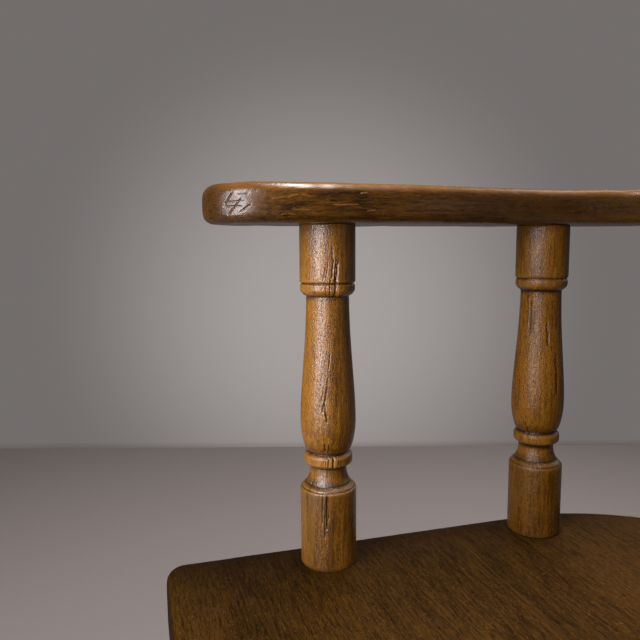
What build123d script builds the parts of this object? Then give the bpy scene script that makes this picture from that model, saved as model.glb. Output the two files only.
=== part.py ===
from build123d import *
import os
from math import atan2, cos, degrees, radians, sin, sqrt

os.makedirs("parts", exist_ok=True)

# Driving dimensions in millimetres. The chair stands on Z = 0, faces -Y and turns about the Z axis.

# Seat, three boards glued edge to edge with the grain running from side to side
seat_height = 450.0
seat_thickness = 38.0
seat_width = 505.0
seat_depth = 440.0
front_board_width = 200.0
middle_board_width = 120.0
seat_front_corner = 12.0
seat_side_corner = 150.0
seat_back_radius = 380.0
seat_top_round = 7.0
seat_bottom_round = 4.0

# Turned posts between the seat and the arms
post_edge_inset = 24.5
front_post_setback = 105.0
post_pitch = 157.0
back_gaps_per_side = 2.5
post_length = 220.0
post_foot_radius = 18.3
post_foot_height = 52.5
post_foot_ease = 1.5
post_cove_height = 13.0
post_neck_radius = 11.9
post_ring_radius = 15.7
post_ring_height = 9.6
post_vase_base_radius = 13.8
post_belly_radius = 17.9
post_belly_rise = 21.0
post_throat_radius = 13.7
post_bead_radius = 17.4
post_bead_height = 7.4
post_groove_width = 1.6
post_groove_depth = 0.8
post_head_radius = 17.7
post_head_height = 35.5
lower_tenon_radius = 11.0
lower_tenon_length = 27.0
upper_tenon_radius = 10.5
upper_tenon_length = 14.0

# Arms, the two halves of a flat bow with a paddle at each front end
arm_thickness = 23.4
arm_width = 46.0
arm_paddle_width = 68.0
arm_paddle_lead = 17.0
arm_front_reach = 77.0
arm_top_round = 8.0
arm_bottom_round = 6.0
splice_dowel_radius = 4.0
splice_dowel_length = 50.0
splice_dowel_spacing = 18.0

# Crest rail on top of the bow
crest_height = 82.0
crest_thickness = 28.0
crest_corner_run = 50.0
crest_end_height = 10.0
crest_lean = 18.0
crest_round = 5.0
crest_screw_recess = 8.0
crest_screw_offset = 38.0

# Battens under the seat
batten_width = 44.0
batten_thickness = 20.0
batten_front_inset = 45.0
batten_back_lap = 45.0
batten_plate_gap = 33.0
batten_ease = 4.0

# Slotted wood screws, all of one gauge
screw_shank_radius = 2.4
screw_head_radius = 4.7
screw_slot_width = 1.2
screw_slot_depth = 1.1
screw_point = 6.0
batten_screw_length = 44.0
plate_screw_length = 32.0
crest_screw_length = 44.0
housing_screw_length = 28.0
tie_screw_length = 32.0

# Swivel
plate_width = 170.0
plate_depth = 150.0
plate_thickness = 6.0
plate_corner = 14.0
plate_screw_inset = 15.0
shaft_radius = 15.0
shaft_spigot_radius = 10.0
shaft_tail = 8.0
shaft_chamfer = 1.5
race_thickness = 6.0
race_land = 9.0
race_gap = 4.0
race_recess = 2.0
ball_radius = 4.0
ball_count = 14
ball_circle_gap = 10.0
cage_thickness = 2.4
cage_half_width = 8.0
flange_thickness = 6.0
flange_land = 12.0
housing_screw_count = 4
sleeve_depth = 186.0
sleeve_wall = 3.0
bush_wall = 3.0
bush_length = 30.0
washer_thickness = 2.0
ring_thickness = 1.5
ring_groove_depth = 0.9
ring_width = 4.0
ring_mouth = 6.0

# Pedestal column, turned above a square block
column_block = 96.0
column_block_rise = 15.0
column_shoulder_radius = 40.0
column_shoulder_drop = 18.0
column_cove_height = 13.0
column_neck_radius = 33.0
column_ring_radius = 41.0
column_ring_height = 14.0
column_vase_base_radius = 35.0
column_belly_radius = 47.0
column_belly_rise = 33.0
column_throat_radius = 36.0
column_bead_radius = 44.5
column_bead_height = 11.0
column_groove_width = 2.2
column_groove_depth = 1.5
column_head_height = 36.0

# Legs, sawn to a sabre curve and butted on the four faces of the block
leg_clearance = 105.0
leg_joint_height = 90.0
leg_thickness = 44.0
leg_flat = 30.0
leg_ease = 5.0
foot_reach = 300.0
foot_length = 50.0
foot_toe_height = 36.0
foot_toe_inset = 14.0
foot_toe_round = 6.0
leg_dowel_radius = 6.0
leg_dowel_depth = 34.0
leg_dowel_edge = 22.0
leg_dowel_wall = 4.0
tie_plate_thickness = 3.0
tie_plate_margin = 3.0
tie_block_screw_circle = 42.0
tie_leg_screw_edge = 8.0
glide_height = 6.0
glide_radius = 14.0
glide_ease = 2.0
glide_pin_radius = 2.0
glide_pin_length = 15.0

# Curve handles, as shares of the run that each one shapes
cove_handle = 0.3
vase_foot_handle = 0.15
belly_under_handle = 0.45
belly_over_handle = 0.26
throat_handle = 0.38
shoulder_handle = 0.4
arm_taper_handle = 0.35
crest_shoulder_handle = 0.62
crest_foot_handle = 0.7
leg_knee_handle = 0.33
leg_ankle_handle = 0.56
leg_ankle_lift = 0.4
toe_bulge_level = 0.45
arch_foot_handle = 0.35
arch_foot_lift = 0.2
arch_knee_handle = 0.42

# Clearances
wood_fit = 0.1
metal_fit = 0.05
running_fit = 0.05
screw_fit = 0.1
blind_gap = 1.0
ball_gap = 0.3
race_shaft_gap = 0.5
shaft_end_float = 0.2
washer_bore_gap = 0.5

# Heights, worked downwards from the seat and upwards from the floor
seat_bottom = seat_height - seat_thickness
arm_bottom = seat_height + post_length
arm_top = arm_bottom + arm_thickness
crest_top = arm_top + crest_height
batten_bottom = seat_bottom - batten_thickness
plate_bottom = seat_bottom - plate_thickness
upper_race_bottom = plate_bottom - race_thickness
ball_level = upper_race_bottom - race_gap / 2
lower_race_top = upper_race_bottom - race_gap
lower_race_bottom = lower_race_top - race_thickness
flange_top = lower_race_bottom + race_recess
column_top = flange_top - flange_thickness
sleeve_bottom = column_top - sleeve_depth
washer_top = sleeve_bottom - shaft_end_float
ring_groove_top = washer_top - washer_thickness
ring_top = ring_groove_top - metal_fit
ring_groove_bottom = ring_top - ring_thickness - metal_fit
shaft_bottom = ring_groove_bottom - shaft_tail
leg_top = leg_clearance + leg_joint_height
block_top = leg_top + column_block_rise
tie_plate_bottom = leg_clearance - tie_plate_thickness

# Radii of the swivel, worked outwards from the shaft
ball_circle = shaft_radius + ball_circle_gap
race_radius = ball_circle + race_land
flange_radius = race_radius + flange_land
bush_bore = shaft_radius + running_fit
bush_radius = bush_bore + bush_wall
sleeve_bore = bush_radius + metal_fit
sleeve_radius = sleeve_bore + sleeve_wall
column_bore = sleeve_radius + wood_fit
ring_groove_radius = shaft_radius - ring_groove_depth
block_half = column_block / 2
block_corner = block_half * sqrt(2)

# Plan of the bow. The seat front is placed so that the turning axis is midway between front and back.
overall_depth = seat_depth - post_edge_inset + crest_thickness / 2 + crest_lean
seat_front = -overall_depth / 2
seat_back = seat_front + seat_depth
post_x = seat_width / 2 - post_edge_inset
front_post_y = seat_front + front_post_setback
corner_x = seat_width / 2 - seat_side_corner
back_y = seat_back - seat_back_radius
corner_y = back_y + sqrt((seat_back_radius - seat_side_corner) ** 2 - corner_x**2)
corner_sweep = degrees(atan2(corner_y - back_y, corner_x))
post_corner_radius = seat_side_corner - post_edge_inset
post_back_radius = seat_back_radius - post_edge_inset

# Runs along the line of the posts, from a front post round to the middle of the back
straight_run = corner_y - front_post_y
corner_run = radians(corner_sweep) * post_corner_radius
back_run = radians(90 - corner_sweep) * post_back_radius
half_run = straight_run + corner_run + back_run
back_gap = (half_run - post_pitch) / back_gaps_per_side


def bow_point(run):
    """Return the point on the left side's line of posts that lies run behind the front post."""
    if run < straight_run:
        return post_x, front_post_y + run
    if run < straight_run + corner_run:
        turn = (run - straight_run) / post_corner_radius
        return corner_x + post_corner_radius * cos(turn), corner_y + post_corner_radius * sin(turn)
    turn = radians(corner_sweep) + (run - straight_run - corner_run) / post_back_radius
    return post_back_radius * cos(turn), back_y + post_back_radius * sin(turn)


def both_sides(points):
    """Return the points and their mirror images across the middle of the chair."""
    return [(side * x, y) for x, y in points for side in (1, -1)]


def bow_edge(outward, corner_start=0.0):
    """Draw an edge of the bow, outward of the line of the posts, round a corner to the middle back."""
    CenterArc((corner_x, corner_y), post_corner_radius + outward, corner_start, corner_sweep - corner_start)
    CenterArc((0, back_y), post_back_radius + outward, corner_sweep, 90 - corner_sweep)


def from_below(points, height):
    """Return places at one height that face down, so that a hole drilled there runs up."""
    return [Location((x, y, height), (180, 0, 0)) for x, y in points]


def drill_for_screws(places, length):
    """Countersink and drill the piece in hand for screws of one length."""
    with Locations(places):
        CounterSinkHole(
            screw_shank_radius + screw_fit, screw_head_radius + screw_fit, length + blind_gap, 90
        )


def screw_blank(length):
    """Return a slotted countersunk screw that points up, with the flat of its head at Z = 0."""
    with BuildPart() as screw:
        with BuildSketch(Plane.XZ):
            with BuildLine():
                Polyline(
                    (0, 0),
                    (screw_head_radius, 0),
                    (screw_shank_radius, screw_head_radius - screw_shank_radius),
                    (screw_shank_radius, length - screw_point),
                    (0, length),
                    close=True,
                )
            make_face()
        revolve(axis=Axis.Z)
        Box(2 * screw_head_radius, screw_slot_width, 2 * screw_slot_depth, mode=Mode.SUBTRACT)
    return screw.part


def draw_cove(foot_radius, foot_level, neck_radius, neck_level):
    """Draw a turned hollow from the shoulder below it up to its neck."""
    reach = (neck_level - foot_level) * cove_handle
    Bezier(
        (foot_radius, foot_level),
        (neck_radius, foot_level + reach),
        (neck_radius, neck_level - reach),
        (neck_radius, neck_level),
    )


def draw_vase(base_radius, base_level, belly_radius, belly_level, throat_radius, throat_level):
    """Draw a turned vase from its narrow base over the belly to the throat."""
    rise = belly_level - base_level
    taper = throat_level - belly_level
    Bezier(
        (base_radius, base_level),
        ((base_radius + belly_radius) / 2, base_level + rise * vase_foot_handle),
        (belly_radius, belly_level - rise * belly_under_handle),
        (belly_radius, belly_level),
    )
    Bezier(
        (belly_radius, belly_level),
        (belly_radius, belly_level + taper * belly_over_handle),
        (throat_radius, throat_level - taper * throat_handle),
        (throat_radius, throat_level),
    )


def save(piece, name):
    """Label a finished piece and write it to its own file."""
    piece.label = name
    export_step(piece, f"parts/{name}.step")


# Places of the posts, on the left side and then on both
post_runs = {
    "arm_post_front": 0.0,
    "arm_post_rear": post_pitch,
    "back_post_outer": post_pitch + back_gap,
    "back_post_inner": post_pitch + 2 * back_gap,
}
post_places = both_sides([bow_point(run) for run in post_runs.values()])

# Places of the screws
joint_front = seat_front + front_board_width
joint_back = joint_front + middle_board_width
batten_x = plate_width / 2 + batten_plate_gap + batten_width / 2
batten_front = seat_front + batten_front_inset
batten_back = joint_back + batten_back_lap
batten_screw_places = from_below(
    both_sides(
        [
            (batten_x, (batten_front + joint_front) / 2),
            (batten_x, (joint_front + joint_back) / 2),
            (batten_x, (joint_back + batten_back) / 2),
        ]
    ),
    batten_bottom,
)
plate_screw_x = plate_width / 2 - plate_screw_inset
plate_screw_y = plate_depth / 2 - plate_screw_inset
plate_screw_places = from_below(
    both_sides([(plate_screw_x, plate_screw_y), (plate_screw_x, -plate_screw_y)]), plate_bottom
)
crest_screw_points = both_sides([bow_point(half_run - crest_screw_offset), bow_point(half_run - back_gap)])
crest_screw_places = from_below(crest_screw_points, arm_bottom + crest_screw_recess)

# Seat blank, a flat plank with square front corners and a rounded back
with BuildPart() as seat_blank:
    with BuildSketch(Plane.XY.offset(seat_bottom)):
        with BuildLine():
            Line((0, seat_front), (seat_width / 2, seat_front))
            Line((seat_width / 2, seat_front), (seat_width / 2, corner_y))
            bow_edge(post_edge_inset)
            mirror(about=Plane.YZ)
        make_face()
    extrude(amount=seat_thickness)
    fillet(seat_blank.edges().filter_by(Axis.Z).group_by(Axis.Y)[0], seat_front_corner)
    fillet(seat_blank.faces().sort_by(Axis.Z)[-1].edges(), seat_top_round)
    fillet(seat_blank.faces().sort_by(Axis.Z)[0].edges(), seat_bottom_round)

# Seat boards, sawn from the blank and bored for the posts and screws
board_spans = {
    "seat_board_front": (seat_front, joint_front),
    "seat_board_middle": (joint_front, joint_back),
    "seat_board_rear": (joint_back, seat_back),
}
for board_name, (board_front, board_back) in board_spans.items():
    with BuildPart() as seat_board:
        add(seat_blank.part)
        with Locations((0, board_front, seat_bottom)):
            Box(
                2 * seat_width,
                board_back - board_front,
                seat_thickness,
                align=(Align.CENTER, Align.MIN, Align.MIN),
                mode=Mode.INTERSECT,
            )
        with Locations([(x, y, seat_height) for x, y in post_places]):
            Hole(lower_tenon_radius + wood_fit, lower_tenon_length + blind_gap)
        drill_for_screws(batten_screw_places, batten_screw_length)
        drill_for_screws(plate_screw_places, plate_screw_length)
    save(seat_board.part, board_name)

# Battens across the board joints
for batten_name, side in (("seat_batten_left", 1), ("seat_batten_right", -1)):
    with BuildPart() as seat_batten:
        with Locations((side * batten_x, batten_front, batten_bottom)):
            Box(
                batten_width,
                batten_back - batten_front,
                batten_thickness,
                align=(Align.CENTER, Align.MIN, Align.MIN),
            )
        chamfer(seat_batten.faces().sort_by(Axis.Z)[0].edges(), batten_ease)
        drill_for_screws(batten_screw_places, batten_screw_length)
    save(seat_batten.part, batten_name)

batten_screw = screw_blank(batten_screw_length)
with BuildPart() as batten_screws:
    with Locations([(place.position.X, place.position.Y, batten_bottom) for place in batten_screw_places]):
        add(batten_screw)
save(batten_screws.part, "batten_screws")

# Post, turned in one piece with a tenon at each end, standing on Z = 0
cove_top = post_foot_height + post_cove_height
ring_top_level = cove_top + post_ring_height
belly_level = ring_top_level + post_belly_rise
groove_top = post_length - post_head_height
groove_bottom = groove_top - post_groove_width
bead_bottom = groove_bottom - post_bead_height
with BuildPart() as post_blank:
    with BuildSketch(Plane.XZ):
        with BuildLine():
            Polyline(
                (0, -lower_tenon_length),
                (lower_tenon_radius, -lower_tenon_length),
                (lower_tenon_radius, 0),
                (post_foot_radius, 0),
                (post_foot_radius, post_foot_height - post_foot_ease),
                (post_foot_radius - post_foot_ease, post_foot_height),
            )
            draw_cove(post_foot_radius - post_foot_ease, post_foot_height, post_neck_radius, cove_top)
            ThreePointArc(
                (post_neck_radius, cove_top),
                (post_ring_radius, (cove_top + ring_top_level) / 2),
                (post_vase_base_radius, ring_top_level),
            )
            draw_vase(
                post_vase_base_radius,
                ring_top_level,
                post_belly_radius,
                belly_level,
                post_throat_radius,
                bead_bottom,
            )
            RadiusArc(
                (post_throat_radius, bead_bottom),
                (post_bead_radius, bead_bottom + post_bead_height / 2),
                -post_bead_height,
            )
            Polyline(
                (post_bead_radius, bead_bottom + post_bead_height / 2),
                (post_bead_radius, groove_bottom),
                (post_bead_radius - post_groove_depth, (groove_bottom + groove_top) / 2),
                (post_head_radius, groove_top),
                (post_head_radius, post_length),
                (upper_tenon_radius, post_length),
                (upper_tenon_radius, post_length + upper_tenon_length),
                (0, post_length + upper_tenon_length),
                (0, -lower_tenon_length),
            )
        make_face()
    revolve(axis=Axis.Z)

for post_name, run in post_runs.items():
    x, y = bow_point(run)
    for side_name, side in (("left", 1), ("right", -1)):
        with BuildPart() as post:
            with Locations((side * x, y, seat_height)):
                add(post_blank.part)
        save(post.part, f"{post_name}_{side_name}")

# Arm, one half of the bow, drawn on the left side with its splice face at X = 0
arm_half = arm_width / 2
paddle_half = arm_paddle_width / 2
paddle_front = front_post_y - arm_paddle_lead
with BuildPart() as arm_blank:
    with BuildSketch(Plane.XY.offset(arm_bottom)):
        with BuildLine():
            for out in (1, -1):
                bow_edge(out * arm_half)
                Bezier(
                    (post_x + out * arm_half, corner_y),
                    (post_x + out * arm_half, corner_y - straight_run * arm_taper_handle),
                    (post_x + out * paddle_half, front_post_y + straight_run * arm_taper_handle),
                    (post_x + out * paddle_half, front_post_y),
                )
                Line((post_x + out * paddle_half, front_post_y), (post_x + out * paddle_half, paddle_front))
            EllipticalCenterArc(
                (post_x, paddle_front),
                paddle_half,
                arm_front_reach - arm_paddle_lead,
                start_angle=180,
                arc_size=180,
            )
            Line(
                (0, back_y + post_back_radius - arm_half),
                (0, back_y + post_back_radius + arm_half),
            )
        make_face()
    extrude(amount=arm_thickness)
    for level, radius in ((-1, arm_top_round), (0, arm_bottom_round)):
        rim = arm_blank.faces().sort_by(Axis.Z)[level].edges()
        fillet(rim.sort_by(Axis.X)[1:], radius)
    with Locations(from_below([bow_point(run) for run in post_runs.values()], arm_bottom)):
        Hole(upper_tenon_radius + wood_fit, upper_tenon_length + blind_gap)
    with Locations(from_below(crest_screw_points, arm_bottom)):
        Hole(screw_head_radius + screw_fit, crest_screw_recess)
    drill_for_screws(crest_screw_places, crest_screw_length)
    with Locations((0, back_y + post_back_radius, (arm_bottom + arm_top) / 2)):
        with GridLocations(0, splice_dowel_spacing, 1, 2):
            Cylinder(
                splice_dowel_radius + wood_fit,
                splice_dowel_length + 2 * blind_gap,
                rotation=(0, 90, 0),
                mode=Mode.SUBTRACT,
            )

with BuildPart() as arm_left:
    add(arm_blank.part)
save(arm_left.part, "arm_left")

with BuildPart() as arm_right:
    mirror(arm_blank.part, about=Plane.YZ)
save(arm_right.part, "arm_right")

with BuildPart() as arm_splice_dowels:
    with Locations((0, back_y + post_back_radius, (arm_bottom + arm_top) / 2)):
        with GridLocations(0, splice_dowel_spacing, 1, 2):
            Cylinder(splice_dowel_radius, splice_dowel_length, rotation=(0, 90, 0))
save(arm_splice_dowels.part, "arm_splice_dowels")

# Crest rail, bent to the bow in plan, leaning back, with its ends swept down
crest_half = crest_thickness / 2
crest_start = corner_sweep - degrees(crest_corner_run / post_corner_radius)
crest_end_x = corner_x + (post_corner_radius + crest_half) * cos(radians(crest_start))
with BuildPart() as crest_rail:
    for level, lean in ((arm_top, 0), (crest_top, crest_lean)):
        with BuildSketch(Plane((0, lean, level))):
            with BuildLine():
                bow_edge(crest_half, crest_start)
                bow_edge(-crest_half, crest_start)
                crest_end = [
                    (
                        corner_x + (post_corner_radius + out) * cos(radians(crest_start)),
                        corner_y + (post_corner_radius + out) * sin(radians(crest_start)),
                    )
                    for out in (crest_half, -crest_half)
                ]
                Line(crest_end[0], crest_end[1])
                mirror(about=Plane.YZ)
            make_face()
    loft(ruled=True)
    with BuildSketch(Plane.XZ):
        with BuildLine():
            Bezier(
                (0, crest_top),
                (crest_end_x * crest_shoulder_handle, crest_top),
                (crest_end_x * crest_foot_handle, arm_top + crest_end_height),
                (crest_end_x, arm_top + crest_end_height),
            )
            Polyline((crest_end_x, arm_top + crest_end_height), (crest_end_x, arm_top), (0, arm_top))
            mirror(about=Plane.YZ)
        make_face()
    extrude(amount=overall_depth, both=True, mode=Mode.INTERSECT)
    fillet(crest_rail.edges().filter_by(lambda edge: edge.center().Z > arm_top + crest_round), crest_round)
    drill_for_screws(crest_screw_places, crest_screw_length)
save(crest_rail.part, "crest_rail")

crest_screw = screw_blank(crest_screw_length)
with BuildPart() as crest_screws:
    with Locations([(x, y, arm_bottom + crest_screw_recess) for x, y in crest_screw_points]):
        add(crest_screw)
save(crest_screws.part, "crest_screws")

# Top plate of the swivel, screwed under the seat
with BuildPart() as swivel_top_plate:
    with BuildSketch(Plane.XY.offset(plate_bottom)):
        RectangleRounded(plate_width, plate_depth, plate_corner)
        Circle(shaft_spigot_radius + metal_fit, mode=Mode.SUBTRACT)
    extrude(amount=plate_thickness)
    drill_for_screws(plate_screw_places, plate_screw_length)
save(swivel_top_plate.part, "swivel_top_plate")

plate_screw = screw_blank(plate_screw_length)
with BuildPart() as top_plate_screws:
    with Locations([(place.position.X, place.position.Y, plate_bottom) for place in plate_screw_places]):
        add(plate_screw)
save(top_plate_screws.part, "top_plate_screws")

# Pivot shaft, with a spigot in the plate and a groove for its retaining ring
with BuildPart() as pivot_shaft:
    with BuildSketch(Plane.XZ):
        with BuildLine():
            Polyline(
                (0, seat_bottom),
                (shaft_spigot_radius, seat_bottom),
                (shaft_spigot_radius, plate_bottom),
                (shaft_radius, plate_bottom),
                (shaft_radius, ring_groove_top),
                (ring_groove_radius, ring_groove_top),
                (ring_groove_radius, ring_groove_bottom),
                (shaft_radius, ring_groove_bottom),
                (shaft_radius, shaft_bottom + shaft_chamfer),
                (shaft_radius - shaft_chamfer, shaft_bottom),
                (0, shaft_bottom),
                close=True,
            )
        make_face()
    revolve(axis=Axis.Z)
save(pivot_shaft.part, "pivot_shaft")

# Ball thrust bearing, two grooved races with the balls in a cage between them
race_bores = {
    "upper_race": (upper_race_bottom, shaft_radius + metal_fit),
    "lower_race": (lower_race_bottom, shaft_radius + race_shaft_gap),
}
for race_name, (race_bottom, race_bore) in race_bores.items():
    with BuildPart() as race:
        with BuildSketch(Plane.XY.offset(race_bottom)):
            Circle(race_radius)
            Circle(race_bore, mode=Mode.SUBTRACT)
        extrude(amount=race_thickness)
        with Locations((0, 0, ball_level)):
            Torus(ball_circle, ball_radius + ball_gap, mode=Mode.SUBTRACT)
    save(race.part, race_name)

with BuildPart() as bearing_balls:
    with Locations((0, 0, ball_level)):
        with PolarLocations(ball_circle, ball_count):
            Sphere(ball_radius)
save(bearing_balls.part, "bearing_balls")

with BuildPart() as ball_cage:
    with BuildSketch(Plane.XY.offset(ball_level - cage_thickness / 2)):
        Circle(ball_circle + cage_half_width)
        Circle(ball_circle - cage_half_width, mode=Mode.SUBTRACT)
        with PolarLocations(ball_circle, ball_count):
            Circle(ball_radius + ball_gap, mode=Mode.SUBTRACT)
    extrude(amount=cage_thickness)
save(ball_cage.part, "ball_cage")

# Bearing housing, a flanged sleeve let into the column
housing_screw_circle = race_radius + flange_land / 2
with PolarLocations(housing_screw_circle, housing_screw_count) as housing_circle:
    housing_screw_points = [place.position for place in housing_circle.locations]
housing_screw_places = [Location((point.X, point.Y, flange_top)) for point in housing_screw_points]
with BuildPart() as bearing_housing:
    with Locations((0, 0, column_top)):
        Cylinder(flange_radius, flange_thickness, align=(Align.CENTER, Align.CENTER, Align.MIN))
        Cylinder(sleeve_radius, sleeve_depth, align=(Align.CENTER, Align.CENTER, Align.MAX))
    with Locations((0, 0, flange_top)):
        Hole(sleeve_bore, flange_thickness + sleeve_depth)
        Hole(race_radius + metal_fit, race_recess)
    drill_for_screws(housing_screw_places, housing_screw_length)
save(bearing_housing.part, "bearing_housing")

housing_screw = screw_blank(housing_screw_length)
with BuildPart() as housing_screws:
    with Locations([place * Rotation(180, 0, 0) for place in housing_screw_places]):
        add(housing_screw)
save(housing_screws.part, "housing_screws")

# Bronze bushes at the two ends of the sleeve
bush_bottoms = {"upper_bush": lower_race_bottom - bush_length, "lower_bush": sleeve_bottom}
for bush_name, bush_bottom in bush_bottoms.items():
    with BuildPart() as bush:
        with BuildSketch(Plane.XY.offset(bush_bottom)):
            Circle(bush_radius)
            Circle(bush_bore, mode=Mode.SUBTRACT)
        extrude(amount=bush_length)
    save(bush.part, bush_name)

# Thrust washer and retaining ring under the sleeve
with BuildPart() as thrust_washer:
    with BuildSketch(Plane.XY.offset(ring_groove_top)):
        Circle(sleeve_radius - washer_bore_gap)
        Circle(shaft_radius + metal_fit, mode=Mode.SUBTRACT)
    extrude(amount=washer_thickness)
save(thrust_washer.part, "thrust_washer")

with BuildPart() as retaining_ring:
    with BuildSketch(Plane.XY.offset(ring_top - ring_thickness)):
        Circle(ring_groove_radius + ring_width)
        Circle(ring_groove_radius + metal_fit, mode=Mode.SUBTRACT)
        with Locations((0, ring_groove_radius)):
            Rectangle(ring_mouth, 2 * ring_width, mode=Mode.SUBTRACT)
    extrude(amount=ring_thickness)
save(retaining_ring.part, "retaining_ring")

# Directions of the legs, square to the faces of the block, and from a leg to the next block corner
leg_angles = {"leg_rear_left": 45, "leg_rear_right": 135, "leg_front_right": 225, "leg_front_left": 315}
leg_to_corner = 45


def leg_plane(angle):
    """Return the upright plane of one leg, with X outwards from the axis and Y up."""
    turn = radians(angle)
    return Plane((0, 0, 0), x_dir=(cos(turn), sin(turn), 0), z_dir=(sin(turn), -cos(turn), 0))


def leg_plan(angle):
    """Return the floor plane turned to one leg, with X outwards from the axis."""
    return Plane((0, 0, 0), x_dir=(cos(radians(angle)), sin(radians(angle)), 0), z_dir=(0, 0, 1))


# Dowels from the block into the legs, two to a leg
leg_dowel_start = column_bore + leg_dowel_wall
leg_dowel_end = block_half + leg_dowel_depth
leg_dowel_levels = (leg_clearance + leg_dowel_edge, leg_top - leg_dowel_edge)
leg_dowel_places = [
    Location((leg_dowel_start * cos(radians(angle)), leg_dowel_start * sin(radians(angle)), level))
    * Rotation(0, 0, angle)
    * Rotation(0, 90, 0)
    for angle in leg_angles.values()
    for level in leg_dowel_levels
]
leg_dowel_length = leg_dowel_end - leg_dowel_start
along_axis = (Align.CENTER, Align.CENTER, Align.MIN)


def bore_for_leg_dowels():
    """Bore the piece in hand for the leg dowels."""
    with Locations(leg_dowel_places):
        Cylinder(
            leg_dowel_radius + wood_fit, leg_dowel_length + blind_gap, align=along_axis, mode=Mode.SUBTRACT
        )


with BuildPart() as leg_dowels:
    with Locations(leg_dowel_places):
        Cylinder(leg_dowel_radius, leg_dowel_length, align=along_axis)
save(leg_dowels.part, "leg_dowels")

# Screws of the tie plate, two into each leg beside its dowels and one into each corner of the block
tie_leg_screw_reach = block_half + leg_flat / 2
tie_leg_screw_side = leg_thickness / 2 - tie_leg_screw_edge
tie_screw_points = []
for angle in leg_angles.values():
    out_x, out_y = cos(radians(angle)), sin(radians(angle))
    for side in (tie_leg_screw_side, -tie_leg_screw_side):
        tie_screw_points.append(
            (tie_leg_screw_reach * out_x - side * out_y, tie_leg_screw_reach * out_y + side * out_x)
        )
    corner_turn = radians(angle + leg_to_corner)
    tie_screw_points.append(
        (tie_block_screw_circle * cos(corner_turn), tie_block_screw_circle * sin(corner_turn))
    )
tie_screw_places = from_below(tie_screw_points, tie_plate_bottom)

# Pedestal column, a square block below and a turned vase above, bored for the sleeve
column_cove_top = block_top + column_cove_height
column_ring_top = column_cove_top + column_ring_height
column_groove_top = column_top - column_head_height
column_groove_bottom = column_groove_top - column_groove_width
column_bead_bottom = column_groove_bottom - column_bead_height
with BuildPart() as pedestal_column:
    with BuildSketch(Plane.XY.offset(leg_clearance)):
        Rectangle(column_block, column_block, rotation=leg_to_corner)
    extrude(amount=block_top - leg_clearance)
    with BuildSketch(Plane.XZ):
        with BuildLine():
            Bezier(
                (block_corner, block_top - column_shoulder_drop),
                (block_corner, block_top - column_shoulder_drop * shoulder_handle),
                ((block_corner + column_shoulder_radius) / 2, block_top),
                (column_shoulder_radius, block_top),
            )
            Polyline(
                (column_shoulder_radius, block_top),
                (0, block_top),
                (0, leg_clearance),
                (block_corner, leg_clearance),
                (block_corner, block_top - column_shoulder_drop),
            )
        make_face()
    revolve(axis=Axis.Z, mode=Mode.INTERSECT)
    with BuildSketch(Plane.XZ):
        with BuildLine():
            draw_cove(column_shoulder_radius, block_top, column_neck_radius, column_cove_top)
            ThreePointArc(
                (column_neck_radius, column_cove_top),
                (column_ring_radius, (column_cove_top + column_ring_top) / 2),
                (column_vase_base_radius, column_ring_top),
            )
            draw_vase(
                column_vase_base_radius,
                column_ring_top,
                column_belly_radius,
                column_ring_top + column_belly_rise,
                column_throat_radius,
                column_bead_bottom,
            )
            RadiusArc(
                (column_throat_radius, column_bead_bottom),
                (column_bead_radius, column_bead_bottom + column_bead_height / 2),
                -column_bead_height,
            )
            Polyline(
                (column_bead_radius, column_bead_bottom + column_bead_height / 2),
                (column_bead_radius, column_groove_bottom),
                (column_bead_radius - column_groove_depth, (column_groove_bottom + column_groove_top) / 2),
                (flange_radius, column_groove_top),
                (flange_radius, column_top),
                (0, column_top),
                (0, block_top),
                (column_shoulder_radius, block_top),
            )
        make_face()
    revolve(axis=Axis.Z)
    with Locations((0, 0, column_top)):
        Hole(column_bore, column_top - leg_clearance)
    drill_for_screws(housing_screw_places, housing_screw_length)
    drill_for_screws(tie_screw_places, tie_screw_length)
    bore_for_leg_dowels()
save(pedestal_column.part, "pedestal_column")

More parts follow.
